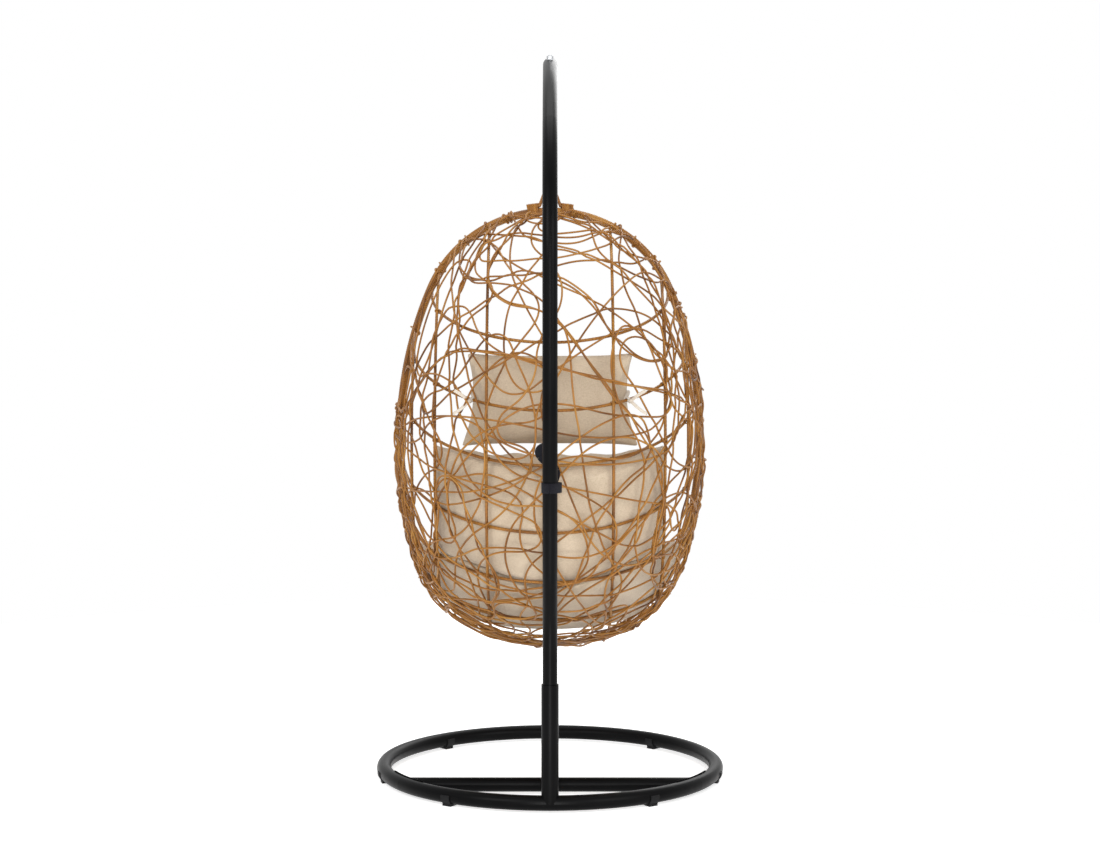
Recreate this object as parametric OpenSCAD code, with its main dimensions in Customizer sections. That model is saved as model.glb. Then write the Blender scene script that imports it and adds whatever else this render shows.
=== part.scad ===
// Hanging egg chair: a wicker basket on a chain under a bent steel pole that
// stands on a round floor ring. Millimetres, +Z up, front of the chair is +Y.

/* [Base] */
// Outside diameter of the floor ring
base_d = 950; // [880:5:1050]
// Diameter of the floor ring's tube
ring_tube_d = 40; // [36:1:44]
// Wall of the floor ring and pole tubes
tube_wall = 1.8; // [1.4:0.1:2.6]
// Distance of the crossbar behind the ring's centre
crossbar_back = 240; // [180:5:280]
// Diameter of the crossbar
crossbar_d = 38; // [32:1:40]
// Length of a swaged end inside the next tube
spigot_len = 50; // [35:1:65]
// Thickness of a saddle plate at the crossbar's ends
saddle_t = 3; // [2:0.5:5]
// Diameter of the base bolts
base_bolt_d = 6; // [5:0.5:8]
// Thickness of a glide's pad under the tube
glide_pad = 5; // [3:0.5:8]
// Length of a glide along the ring
glide_len = 26; // [20:1:34]
// Wall of a glide's clip
glide_wall = 2.2; // [1.6:0.1:3]

/* [Pole] */
// Diameter of the pole
pole_d = 38; // [34:1:42]
// Wall of the socket that holds the pole
socket_wall = 3; // [2:0.5:5]
// Height of the socket's rim above the floor
socket_top = 333; // [250:1:380]
// Height at which the pole starts to lean back
lean_start = 403; // [385:1:440]
// Radius of the bend that leans the pole back
lean_bend_r = 300; // [240:5:360]
// How far the pole leans back
pole_lean = 26; // [20:0.5:28]
// Radius of the long bend that brings the pole upright again
upright_bend_r = 1390; // [1200:10:1500]
// Part of the long bend that lies below the joint of the two poles
joint_turn = 13.4; // [10:0.2:16]
// Height at which the shoulder bend starts
shoulder_start = 1425; // [1380:1:1460]
// Radius of the shoulder bend
shoulder_r = 398; // [360:2:440]
// Turn of the shoulder bend
shoulder_turn = 58; // [54:0.5:62]
// Radius of the arch over the basket
arch_r = 1217; // [1100:1:1300]
// Turn of the arch up to the eye bolt
hook_turn = 22; // [18:0.5:24]
// Length of the arch past the eye bolt
arch_tail = 55; // [40:1:80]

/* [Hanging gear] */
// Diameter of the eye bolt's shank
bolt_d = 10; // [8:0.5:12]
// Wire of the eye
eye_wire_d = 9; // [7:0.5:11]
// Clear diameter inside the eye
eye_clear_d = 19; // [16:0.5:24]
// Wire of the snap hooks
hook_wire_d = 8; // [6:0.5:9]
// Length of a snap hook
hook_len = 70; // [64:1:90]
// Width of a snap hook
hook_w = 36; // [32:1:46]
// Wire of the chain
chain_wire_d = 6; // [5:0.5:7]
// Length of a chain link
link_len = 40; // [34:1:48]
// Width of a chain link
link_w = 24; // [22:0.5:28]
// Number of chain links
link_count = 6; // [4:2:8]

/* [Basket] */
// Height of the face frame, centre to centre
basket_h = 1262; // [1180:2:1320]
// How far the basket leans back
basket_lean = 13.6; // [10:0.2:16]
// Diameter of the face frame's tube
frame_tube_d = 22; // [19:1:25]
// Radius of the face frame over the top
top_arc_r = 354; // [335:1:370]
// Radius of the face frame under the seat
bottom_arc_r = 383; // [365:1:395]
// Radius of the face frame's sides
side_arc_r = 1125; // [1000:5:1300]
// Greatest depth of the basket behind the face frame
basket_depth = 652; // [580:2:670]
// Height of the greatest depth
belly_h = 599; // [560:1:640]
// Diameter of the hoops and ribs
rod_d = 8; // [6:0.5:10]
// Heights of the hoops along the face frame
hoop_h = [239, 415, 575, 753, 886, 1039];
// Places of the ribs to each side of the middle
rib_x = [0, 162, 300, 368];
// Rise of the hanger's eye over the face frame
hanger_rise = 70; // [56:1:80]
// Reach of the hanger's eye behind the face frame
hanger_back = 0; // [-20:1:40]
// Diameter of the hanger's rod
hanger_rod_d = 9; // [7:0.5:10]

/* [Weave] */
// Width of a weave strand
strand_w = 4.6; // [3:0.2:6]
// Thickness of a weave strand
strand_t = 3.4; // [2.4:0.2:5]
// Half meshes across each weave panel
panel_cells = 5; // [3:1:5]
// How unevenly the strands run, as a share of a mesh
weave_wander = 0.26; // [0:0.02:0.3]

/* [Cushions] */
// Level of the seat cushion's underside over the basket's foot
seat_low = 88; // [76:1:130]
// Level of the seat cushion's top edge over the basket's foot
seat_high = 246; // [230:1:250]
// Crown of the seat cushion
seat_crown = 26; // [10:1:40]
// Lower edge of the back cushion along the face frame
back_low_h = 402; // [400:1:430]
// Upper edge of the back cushion along the face frame
back_high_h = 790; // [740:1:810]
// Thickness of the back cushion
back_t = 120; // [80:1:140]
// Half angle that the back cushion spans around the basket
back_half_turn = 50; // [40:1:56]
// Width of the head pillow
pillow_w = 440; // [360:4:444]
// Height of the head pillow
pillow_h = 246; // [200:2:260]
// Thickness of the head pillow
pillow_t = 112; // [80:2:120]
// Width of a pillow tie
tie_w = 12; // [8:1:16]

/* [Strap] */
// Width of the safety strap's webbing
strap_w = 25; // [20:1:32]
// Thickness of the webbing
strap_t = 1.8; // [1.2:0.1:2.6]
// Height of the strap on the pole
strap_h = 853; // [835:1:865]
// Slack of the strap beside the pole
strap_slack = 13; // [6:1:20]

/* [Clearances] */
// Gap between pieces that only touch
touch = 0.3; // [0.2:0.05:0.5]
// Gap between a tube and what slides into it
slide_fit = 0.4; // [0.2:0.05:0.6]

/* [Hidden] */

// Colours
powder_black = [0.06, 0.06, 0.065];
zinc = [0.62, 0.63, 0.64];
wicker = [0.66, 0.43, 0.17];
linen = [0.80, 0.72, 0.62];
webbing = [0.08, 0.08, 0.09];

// Floor ring
ring_r = (base_d - ring_tube_d) / 2;
ring_z = glide_pad + ring_tube_d / 2;
seam_turn = asin(crossbar_back / ring_r);
spigot_turn = spigot_len / ring_r * 180 / PI;
saddle_turn = 10;
bolt_turn = 7;
front_bolt_turn = 3.4;
glide_turns = [-125, -55, -167, -13, 131, 49];

// Pole
pole_r = pole_d / 2;
pole_foot = ring_z + ring_tube_d / 2 + touch;
socket_r = pole_r + slide_fit + socket_wall;
lean_shift = (lean_bend_r + upright_bend_r) * (1 - cos(pole_lean));
upright_z = lean_start + (lean_bend_r + upright_bend_r) * sin(pole_lean);
pole_spigot_turn = spigot_len / upright_bend_r * 180 / PI;
tail_turn = arch_tail / arch_r * 180 / PI;

// The origin lies under the middle of the whole chair, front to back
ring_y = (lean_shift + ring_r + pole_r - base_d / 2) / 2;
pole_y = ring_y - ring_r;
upright_y = pole_y - lean_shift;

// Point of the arch where the eye bolt hangs, and the arch's slope there
arch_slope = shoulder_turn + hook_turn;
arch_centre_y = upright_y + shoulder_r * (1 - cos(shoulder_turn)) + arch_r * cos(shoulder_turn);
arch_centre_z = shoulder_start + (shoulder_r - arch_r) * sin(shoulder_turn);
arch_hook_y = arch_centre_y - arch_r * cos(arch_slope);
arch_hook_z = arch_centre_z + arch_r * sin(arch_slope);

// Eye bolt
eye_r = (eye_clear_d + eye_wire_d) / 2;
eye_collar = 3;
eye_drop = pole_r + touch + eye_collar + eye_r + eye_wire_d / 2 - 1;
eye_y = arch_hook_y + eye_drop * cos(arch_slope);
eye_z = arch_hook_z - eye_drop * sin(arch_slope);
washer_d = 20;
washer_t = 2;
nut_af = 16;
nut_h = 8;

// Hanging gear, from the eye down: centres of the wires that bear on each other
swing_z = eye_z - eye_clear_d / 2 + hook_wire_d / 2 + touch;
hook_bar = hook_len - hook_wire_d;
link_bar = link_len - chain_wire_d;
chain_top_z = swing_z - hook_bar + (hook_wire_d + chain_wire_d) / 2 + touch;
link_step = link_bar - chain_wire_d - touch;
chain_low_z = chain_top_z - (link_count - 1) * link_step - link_bar;
low_hook_z = chain_low_z + (hook_wire_d + chain_wire_d) / 2 + touch;
hanger_eye_z = low_hook_z - hook_bar + (hook_wire_d + hanger_rod_d) / 2 + touch;

// Basket: its own frame stands at the foot of the face frame's centreline
frame_r = frame_tube_d / 2;
frame_top_y = eye_y + hanger_back;
frame_top_z = hanger_eye_z - hanger_rise;
basket_y = frame_top_y + basket_h * sin(basket_lean);
basket_z = frame_top_z - basket_h * cos(basket_lean);
low_r = side_arc_r - bottom_arc_r;
high_r = side_arc_r - top_arc_r;
top_centre_h = basket_h - top_arc_r;
side_h = (low_r * low_r - high_r * high_r - bottom_arc_r * bottom_arc_r
    + top_centre_h * top_centre_h) / (2 * (top_centre_h - bottom_arc_r));
side_x = sqrt(low_r * low_r - pow(side_h - bottom_arc_r, 2));
low_turn = atan2(bottom_arc_r - side_h, side_x);
high_turn = atan2(top_centre_h - side_h, side_x);
belly_power = 2.1;
frame_gap = 0.7;
hoop_in = rod_d + 3 * touch;
weave_out = (rod_d + strand_t) / 2 + touch;

// Half width of the egg outline at height h
function egg_x(h) =
    h < bottom_arc_r * (1 + sin(low_turn)) ? sqrt(max(0, h * (2 * bottom_arc_r - h)))
    : h > top_centre_h + top_arc_r * sin(high_turn)
        ? sqrt(max(0, top_arc_r * top_arc_r - pow(h - top_centre_h, 2)))
        : sqrt(side_arc_r * side_arc_r - pow(h - side_h, 2)) - side_x;

// Depth of the basket behind the face frame at height h
function depth(h) = h < belly_h
    ? basket_depth * (1 - pow((belly_h - h) / belly_h, belly_power))
    : basket_depth * sqrt(max(0, 1 - pow((h - belly_h) / (basket_h - belly_h), 2)));

function shell(t, h) = [egg_x(h) * cos(t), -depth(h) * sin(t), h];
function slope_x(h) = (egg_x(h + 1) - egg_x(h - 1)) / 2;
function slope_d(h) = (depth(h + 1) - depth(h - 1)) / 2;
function unit(v) = v / norm(v);
function across(t, h) = unit([-egg_x(h) * sin(t), -depth(h) * cos(t), 0]);
function along(t, h) = unit([slope_x(h) * cos(t), -slope_d(h) * sin(t), 1]);
function outward(t, h) = unit(cross(along(t, h), across(t, h)));
function at_shell(t, h, out) = shell(t, h) + out * outward(t, h);

// Height between lo and hi at which the outline is x wide, rising = 1 below the widest
function outline_h(x, lo, hi, rising, n = 26) = n == 0 ? (lo + hi) / 2
    : (egg_x((lo + hi) / 2) < x) == (rising == 1)
        ? outline_h(x, (lo + hi) / 2, hi, rising, n - 1)
        : outline_h(x, lo, (lo + hi) / 2, rising, n - 1);

// A bent rod from a list of points and the outward direction at each
module sweep(points, outs, w, t, sides) {
    n = len(points);
    last = n - 1;
    rings = [for (i = [0:last])
        let (dir = unit(points[min(i + 1, last)] - points[max(i - 1, 0)]),
             side = unit(cross(dir, outs[i])), up = cross(side, dir))
        for (k = [0:sides - 1])
            let (a = (k + 0.5) * 360 / sides)
            points[i] + w * cos(a) * side + t * sin(a) * up];
    walls = [for (i = [0:last - 1], k = [0:sides - 1])
        let (a = i * sides + k, b = i * sides + (k + 1) % sides)
        each [[a, b, b + sides], [a, b + sides, a + sides]]];
    caps = [for (k = [1:sides - 2])
        each [[0, k + 1, k], [last * sides, last * sides + k, last * sides + k + 1]]];
    polyhedron(rings, concat(walls, caps), convexity = 8);
}

// Half of a round rod's section that gives a six-sided sweep the rod's own width
module rod_sweep(points, outs, d) { sweep(points, outs, d / 2, d / 2, 6); }

module in_basket() {
    translate([0, basket_y, basket_z]) rotate([basket_lean, 0, 0]) children();
}

// Section of a tube at distance r from the axis that it turns about
module tube_section(r, outer_r, inner_r) {
    translate([r, 0]) difference() {
        circle(r = outer_r, $fn = 64);
        if (inner_r > 0) circle(r = inner_r, $fn = 64);
    }
}

// Part of the floor ring, from one angle round to another
module ring_part(from, to, outer_r, inner_r) {
    translate([0, ring_y, ring_z]) rotate([0, 0, from])
        rotate_extrude(angle = to - from, $fn = 128) tube_section(ring_r, outer_r, inner_r);
}

// Swaged end of a ring tube: a thinner nose, and a joggle that joins it to the tube's wall.
// way is 1 where the tube's body lies on the side of growing angle.
module ring_spigot(end, way) {
    nose_r = ring_tube_d / 2 - tube_wall - slide_fit;
    nose = end - way * spigot_turn;
    root = end + way * 0.3;
    ring_part(min(nose, root), max(nose, root), nose_r, nose_r - tube_wall);
    ring_part(min(end + way * 0.02, end + way * 0.6), max(end + way * 0.02, end + way * 0.6),
        ring_tube_d / 2 - tube_wall / 2, nose_r - tube_wall / 2);
}

module ring_bolt_place(turn) {
    translate([0, ring_y, ring_z]) rotate([0, 0, turn]) translate([ring_r, 0, 0]) children();
}

saddle_bolt_turns = [-seam_turn - bolt_turn, -seam_turn + bolt_turn,
    180 + seam_turn - bolt_turn, 180 + seam_turn + bolt_turn];

// Holes that the base bolts pass through
module base_bolt_holes() {
    for (turn = saddle_bolt_turns) ring_bolt_place(turn) rotate([0, -90, 0])
        cylinder(d = base_bolt_d + slide_fit, h = ring_tube_d, $fn = 24);
    ring_bolt_place(90 - front_bolt_turn) cylinder(d = base_bolt_d + slide_fit, h = ring_tube_d, $fn = 24);
}

module ring_rear() {
    color(powder_black) difference() {
        ring_part(-180 + seam_turn, -seam_turn, ring_tube_d / 2, ring_tube_d / 2 - tube_wall);
        base_bolt_holes();
    }
}

module ring_front_right() {
    end = -seam_turn + touch / ring_r * 180 / PI;
    color(powder_black) difference() {
        union() {
            ring_part(end, 90, ring_tube_d / 2, ring_tube_d / 2 - tube_wall);
            ring_spigot(end, 1);
        }
        base_bolt_holes();
    }
}

module ring_front_left() {
    end = 180 + seam_turn - touch / ring_r * 180 / PI;
    front = 90 + touch / ring_r * 180 / PI;
    color(powder_black) difference() {
        union() {
            ring_part(front, end, ring_tube_d / 2, ring_tube_d / 2 - tube_wall);
            ring_spigot(end, -1);
            ring_spigot(front, 1);
        }
        base_bolt_holes();
    }
}

// Straight tube across the ring, coped to the saddle plates
module crossbar() {
    color(powder_black) difference() {
        translate([-ring_r, ring_y - crossbar_back, ring_z]) rotate([0, 90, 0]) difference() {
            cylinder(d = crossbar_d, h = 2 * ring_r, $fn = 64);
            translate([0, 0, -1]) cylinder(d = crossbar_d - 2 * tube_wall, h = 2 * ring_r + 2, $fn = 64);
        }
        ring_part(-60, 0, ring_tube_d / 2 + saddle_t + 2 * touch, 0);
        ring_part(180, 240, ring_tube_d / 2 + saddle_t + 2 * touch, 0);
        for (side = [-1, 1]) translate([side * (base_d / 2 + ring_r * cos(seam_turn)), ring_y, ring_z])
            cube([base_d, 2 * base_d, base_d], center = true);
    }
}

// Curved plates that hug the inner side of the ring at the crossbar's ends
module saddle_plate(mid) {
    inner = ring_tube_d / 2 + touch;
    difference() {
        translate([0, ring_y, ring_z]) rotate([0, 0, mid - saddle_turn])
            rotate_extrude(angle = 2 * saddle_turn, $fn = 128) translate([ring_r, 0])
                difference() {
                    circle(r = inner + saddle_t, $fn = 64);
                    circle(r = inner, $fn = 64);
                    translate([-ring_tube_d * 0.14, -ring_tube_d]) square([2 * ring_tube_d, 2 * ring_tube_d]);
                }
        base_bolt_holes();
    }
}

module saddle_plates() {
    color(powder_black) {
        saddle_plate(-seam_turn);
        saddle_plate(180 + seam_turn);
    }
}

// Button-head bolt that lies along +Z with its head on the plane z = 0
module button_bolt(shank) {
    head_r = base_bolt_d * 0.95;
    rotate_extrude($fn = 32) polygon(concat([[0, -shank], [base_bolt_d / 2, -shank], [base_bolt_d / 2, 0]],
        [for (a = [0:15:90]) [head_r * cos(a), head_r * 0.55 * sin(a)]]));
}

module base_bolts() {
    head_in = ring_tube_d / 2 + touch + saddle_t;
    color(powder_black) {
        for (turn = saddle_bolt_turns) ring_bolt_place(turn) translate([-head_in - 0.1, 0, 0])
            rotate([0, -90, 0]) button_bolt(saddle_t + 10);
        ring_bolt_place(90 - front_bolt_turn) translate([0, 0, ring_tube_d / 2 + 0.15]) button_bolt(10);
    }
}

// Snap-on glide: an open clip round the tube on a flat pad
module glide() {
    inner = ring_tube_d / 2 + touch;
    outer = inner + glide_wall;
    half_turn = glide_len / ring_r * 90 / PI;
    difference() {
        union() {
            rotate([0, 0, -half_turn]) rotate_extrude(angle = 2 * half_turn, $fn = 128)
                translate([ring_r, 0]) intersection() {
                    circle(r = outer, $fn = 64);
                    translate([-outer, -ring_z]) square([2 * outer, ring_z + ring_tube_d * 0.12]);
                }
            rotate([0, 0, -half_turn]) rotate_extrude(angle = 2 * half_turn, $fn = 128)
                translate([ring_r - ring_tube_d * 0.34, -ring_z]) square([ring_tube_d * 0.68, glide_pad + 3]);
        }
        rotate_extrude($fn = 128) translate([ring_r, 0]) circle(r = inner, $fn = 64);
    }
}

module glides() {
    color([0.03, 0.03, 0.03]) for (turn = glide_turns)
        translate([0, ring_y, ring_z]) rotate([0, 0, turn]) glide();
}

// Upright socket coped over the ring's rear
module pole_socket() {
    color(powder_black) difference() {
        translate([0, pole_y, ring_z]) cylinder(r = socket_r, h = socket_top - ring_z, $fn = 96);
        translate([0, pole_y, ring_z - 1])
            cylinder(r = pole_r + slide_fit, h = socket_top - ring_z + 2, $fn = 96);
        ring_part(-110, -70, ring_tube_d / 2 + touch / 2, 0);
        translate([-base_d, pole_y - base_d, ring_z - base_d]) cube([2 * base_d, 2 * base_d, base_d]);
    }
}

// Pieces of a pole that starts at the origin along +Z and bends in the YZ plane. A lapped
// piece reaches a little way into its neighbour, inside that neighbour's wall.
lap_len = 2;
lap_step = 0.15;

module straight_piece(len, outer_r, inner_r, lapped = false) {
    lap = lapped ? lap_len : 0;
    step = lapped ? lap_step : 0;
    translate([0, 0, -lap]) difference() {
        cylinder(r = outer_r - step, h = len + 2 * lap, $fn = 96);
        if (inner_r > 0) translate([0, 0, -1])
            cylinder(r = inner_r + step, h = len + 2 * lap + 2, $fn = 96);
    }
}

// way is 1 for a bend to the front and -1 for one to the back
module bend_piece(r, turn, way, outer_r, inner_r, lapped = false) {
    lap = lapped ? lap_len / r * 180 / PI : 0;
    step = lapped ? lap_step : 0;
    mirror([0, way == 1 ? 0 : 1, 0]) translate([0, r, 0]) rotate([90, 0, -90]) rotate([0, 0, -lap])
        rotate_extrude(angle = turn + lap, $fn = 256)
            tube_section(r, outer_r - step, inner_r + step);
}

module after_straight(len) { translate([0, 0, len]) children(); }

module after_bend(r, turn, way) {
    translate([0, way * r * (1 - cos(turn)), r * sin(turn)]) rotate([-way * turn, 0, 0]) children();
}

module at_pole_foot() { translate([0, pole_y, pole_foot]) children(); }

module at_pole_joint() {
    at_pole_foot() after_straight(lean_start - pole_foot) after_bend(lean_bend_r, pole_lean, -1)
        after_bend(upright_bend_r, joint_turn, 1) children();
}

module at_arch() {
    translate([0, upright_y, shoulder_start]) after_bend(shoulder_r, shoulder_turn, 1) children();
}

module lower_pole() {
    joggle_turn = 0.3;
    inner_r = pole_r - tube_wall;
    nose_r = inner_r - slide_fit;
    color(powder_black) {
        at_pole_foot() straight_piece(lean_start - pole_foot, pole_r, inner_r);
        at_pole_foot() after_straight(lean_start - pole_foot) {
            bend_piece(lean_bend_r, pole_lean, -1, pole_r, inner_r);
            after_bend(lean_bend_r, pole_lean, -1) {
                bend_piece(upright_bend_r, joint_turn, 1, pole_r, inner_r, true);
                after_bend(upright_bend_r, joint_turn - joggle_turn, 1)
                    bend_piece(upright_bend_r, joggle_turn - 0.02, 1, pole_r - tube_wall / 2,
                        nose_r - tube_wall / 2);
                after_bend(upright_bend_r, joint_turn - joggle_turn / 2, 1)
                    bend_piece(upright_bend_r, pole_spigot_turn + joggle_turn / 2, 1, nose_r,
                        nose_r - tube_wall);
            }
        }
    }
}

// Hole through the arch for the eye bolt's shank
module shank_hole() {
    at_arch() after_bend(arch_r, hook_turn, 1) rotate([90, 0, 0]) translate([0, 0, -2 * pole_d])
        cylinder(d = bolt_d + slide_fit, h = 4 * pole_d, $fn = 32);
}

module upper_pole() {
    inner_r = pole_r - tube_wall;
    seam = touch / upright_bend_r * 180 / PI;
    color(powder_black) {
        at_pole_joint() after_bend(upright_bend_r, seam, 1)
            bend_piece(upright_bend_r, pole_lean - joint_turn - seam, 1, pole_r, inner_r);
        translate([0, upright_y, upright_z])
            straight_piece(shoulder_start - upright_z, pole_r, inner_r, true);
        translate([0, upright_y, shoulder_start])
            bend_piece(shoulder_r, shoulder_turn, 1, pole_r, inner_r);
        difference() {
            at_arch() bend_piece(arch_r, hook_turn + tail_turn, 1, pole_r, inner_r, true);
            shank_hole();
        }
    }
}

// Domed plug in the open end of the arch
module arch_cap() {
    plug_r = pole_r - tube_wall - slide_fit / 2;
    color([0.03, 0.03, 0.03]) at_arch() after_bend(arch_r, hook_turn + tail_turn, 1)
        translate([0, 0, touch / 3]) rotate_extrude($fn = 64)
            polygon(concat([[0, -14], [plug_r - 1, -14], [plug_r, -12], [plug_r, 0]],
                [for (a = [0:15:90]) [pole_r * cos(a), 2 + 4 * sin(a)]]));
}

// Frame at the eye bolt with its shank along +Z, up through the arch
module at_eye_bolt() {
    at_arch() after_bend(arch_r, hook_turn, 1) rotate([90, 0, 0]) children();
}

module eye_bolt() {
    shank_top = pole_r + washer_t + nut_h + 2;
    color(zinc) at_eye_bolt() {
        difference() {
            union() {
                translate([0, 0, -pole_r - touch - eye_collar - 2])
                    cylinder(d = bolt_d, h = shank_top + pole_r + touch + eye_collar + 2, $fn = 48);
                translate([0, 0, -pole_r - touch - eye_collar])
                    cylinder(d = bolt_d + 6, h = eye_collar, $fn = 48);
            }
            translate([0, 0, -eye_drop]) rotate([0, 90, 0])
                cylinder(d = eye_clear_d + eye_wire_d, h = 2 * pole_d, center = true, $fn = 64);
        }
        translate([0, 0, -eye_drop]) rotate([0, 90, 0])
            rotate_extrude($fn = 96) translate([eye_r, 0]) circle(d = eye_wire_d, $fn = 48);
    }
}

module eye_washer() {
    color(zinc) at_eye_bolt() translate([0, 0, pole_r + 0.05]) difference() {
        cylinder(d = washer_d, h = washer_t, $fn = 64);
        translate([0, 0, -1]) cylinder(d = bolt_d + slide_fit, h = washer_t + 2, $fn = 48);
    }
}

module eye_nut() {
    color(zinc) at_eye_bolt() translate([0, 0, pole_r + washer_t + 0.1]) difference() {
        intersection() {
            cylinder(d = nut_af / cos(30), h = nut_h, $fn = 6);
            translate([0, 0, -1]) cylinder(d1 = nut_af * 2, d2 = nut_af * 0.98, h = nut_h + 1, $fn = 48);
        }
        translate([0, 0, -1]) cylinder(d = bolt_d + 0.2, h = nut_h + 2, $fn = 48);
    }
}

// Closed link of round wire: its top bar lies on the X axis, the rest hangs below
module half_bow(w, d, way) {
    translate([0, 0, way * (w - d) / 2]) rotate([90, 0, 0]) rotate([0, 0, way == 1 ? 180 : 0])
        rotate_extrude(angle = 180, $fn = 64) translate([(w - d) / 2, 0]) circle(d = d, $fn = 32);
}

module wire_link(len, w, d) {
    leg = (w - d) / 2;
    translate([0, 0, -leg]) mirror([0, 0, 1]) translate([0, 0, -leg]) half_bow(w, d, 1);
    translate([0, 0, -(len - d)]) half_bow(w, d, 1);
    for (side = [-1, 1]) translate([side * leg, 0, -(len - d) + leg])
        cylinder(d = d, h = len - d - 2 * leg, $fn = 32);
}

module chain() {
    color(zinc) for (i = [0:link_count - 1])
        translate([0, eye_y, chain_top_z - i * link_step]) rotate([0, 0, i % 2 == 0 ? 90 : 0])
            wire_link(link_len, link_w, chain_wire_d);
}

// Snap hook: a wire link whose left leg is a sprung gate on a pin
gate_d = hook_wire_d - 1.5;
gate_leg = (hook_w - hook_wire_d) / 2;
gate_pin_z = -hook_bar + gate_leg + 7;
gate_top_z = -gate_leg - 1;
gate_slot = 3.2;
pin_d = 2.4;

module hook_body() {
    difference() {
        wire_link(hook_len, hook_w, hook_wire_d);
        translate([-gate_leg - hook_wire_d, -hook_wire_d, gate_pin_z + 4])
            cube([2 * hook_wire_d, 2 * hook_wire_d, gate_top_z - gate_pin_z - 4]);
        translate([-gate_leg - hook_wire_d, -gate_slot / 2, gate_pin_z - 4.5])
            cube([2 * hook_wire_d, gate_slot, 20]);
        translate([-gate_leg, hook_wire_d, gate_pin_z]) rotate([90, 0, 0])
            cylinder(d = pin_d + 0.1, h = 2 * hook_wire_d, $fn = 24);
    }
}

module hook_gate() {
    tongue = gate_slot - 2 * touch;
    difference() {
        union() {
            translate([-gate_leg, 0, gate_pin_z + 6.5])
                cylinder(d = gate_d, h = gate_top_z - touch - 0.2 - gate_pin_z - 6.5, $fn = 32);
            translate([-gate_leg, tongue / 2, gate_pin_z]) rotate([90, 0, 0])
                cylinder(d = gate_d, h = tongue, $fn = 32);
            translate([-gate_leg - gate_d / 2, -tongue / 2, gate_pin_z]) cube([gate_d, tongue, 7]);
        }
        translate([-gate_leg, hook_wire_d, gate_pin_z]) rotate([90, 0, 0])
            cylinder(d = pin_d + 0.1, h = 2 * hook_wire_d, $fn = 24);
    }
}

module hook_gate_pin() {
    translate([-gate_leg, hook_wire_d / 2 + 0.4, gate_pin_z]) rotate([90, 0, 0])
        cylinder(d = pin_d, h = hook_wire_d + 0.8, $fn = 24);
}

module at_upper_hook() { translate([0, eye_y, swing_z]) children(); }
module at_lower_hook() { translate([0, eye_y, low_hook_z]) rotate([0, 0, 90]) children(); }

module upper_hook() { color(zinc) at_upper_hook() hook_body(); }
module upper_gate() { color(zinc) at_upper_hook() hook_gate(); }
module upper_gate_pin() { color(zinc) at_upper_hook() hook_gate_pin(); }
module lower_hook() { color(zinc) at_lower_hook() hook_body(); }
module lower_gate() { color(zinc) at_lower_hook() hook_gate(); }
module lower_gate_pin() { color(zinc) at_lower_hook() hook_gate_pin(); }

// Bent rod that the lower snap hook carries, its feet on the face frame's top
hanger_bow_r = 12;
hanger_foot_turns = [4.4, 9.6];
hanger_foot_r = top_arc_r + frame_r + hanger_rod_d / 2 + 2 * touch;
wrap_wall = 2.4;

function in_world(p) = [p[0], basket_y + p[1] * cos(basket_lean) - p[2] * sin(basket_lean),
    basket_z + p[1] * sin(basket_lean) + p[2] * cos(basket_lean)];
function hanger_foot(k) = in_world([hanger_foot_r * sin(hanger_foot_turns[k]), 0,
    top_centre_h + hanger_foot_r * cos(hanger_foot_turns[k])]);

module rod_between(a, b, d) {
    v = b - a;
    translate(a) rotate([0, acos(v[2] / norm(v)), atan2(v[1], v[0])]) cylinder(d = d, h = norm(v), $fn = 32);
}

module basket_hanger() {
    bow_end = [hanger_bow_r, eye_y, hanger_eye_z - hanger_bow_r];
    color(wicker) {
        translate([0, eye_y, hanger_eye_z - hanger_bow_r]) rotate([90, 0, 0])
            rotate_extrude(angle = 180, $fn = 64) translate([hanger_bow_r, 0]) circle(d = hanger_rod_d, $fn = 32);
        for (side = [0, 1]) mirror([side, 0, 0]) {
            rod_between(bow_end, hanger_foot(0), hanger_rod_d);
            rod_between(hanger_foot(0), hanger_foot(1), hanger_rod_d);
            translate(bow_end) sphere(d = hanger_rod_d + 0.3, $fn = 32);
            translate(hanger_foot(0)) sphere(d = hanger_rod_d + 0.3, $fn = 32);
        }
    }
}

// Thick bindings that lash the hanger's feet to the face frame
module hanger_wraps() {
    wrap_turn = (hanger_foot_turns[0] + hanger_foot_turns[1]) / 2 + 0.5;
    wrap_len = 2 * top_arc_r * sin((hanger_foot_turns[1] - hanger_foot_turns[0]) / 2) - 6;
    rod_r = hanger_rod_d / 2;
    rise = hanger_foot_r - top_arc_r;
    color(wicker) in_basket() for (side = [0, 1]) mirror([side, 0, 0])
        translate([0, 0, top_centre_h]) rotate([0, wrap_turn, 0]) translate([-wrap_len / 2, 0, top_arc_r])
            rotate([0, 90, 0]) linear_extrude(wrap_len) difference() {
                hull() {
                    circle(r = frame_r + 0.8 + wrap_wall, $fn = 48);
                    translate([-rise, 0]) circle(r = rod_r + 0.8 + wrap_wall, $fn = 32);
                }
                hull() {
                    circle(r = frame_r + 0.8, $fn = 48);
                    translate([-rise, 0]) circle(r = rod_r + 0.8, $fn = 32);
                }
            }
}

// Egg-shaped loop of tube that faces the front, made of four tangent pairs of arcs
module frame_arc(x, h, r, from, turn, lapped = false) {
    lap = lapped ? lap_len / r * 180 / PI : 0;
    translate([x, 0, h]) rotate([90, 0, 0]) rotate([0, 0, from - lap])
        rotate_extrude(angle = turn + 2 * lap, $fn = 128) translate([r, 0])
            circle(r = frame_r - (lapped ? lap_step : 0), $fn = 48);
}

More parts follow.
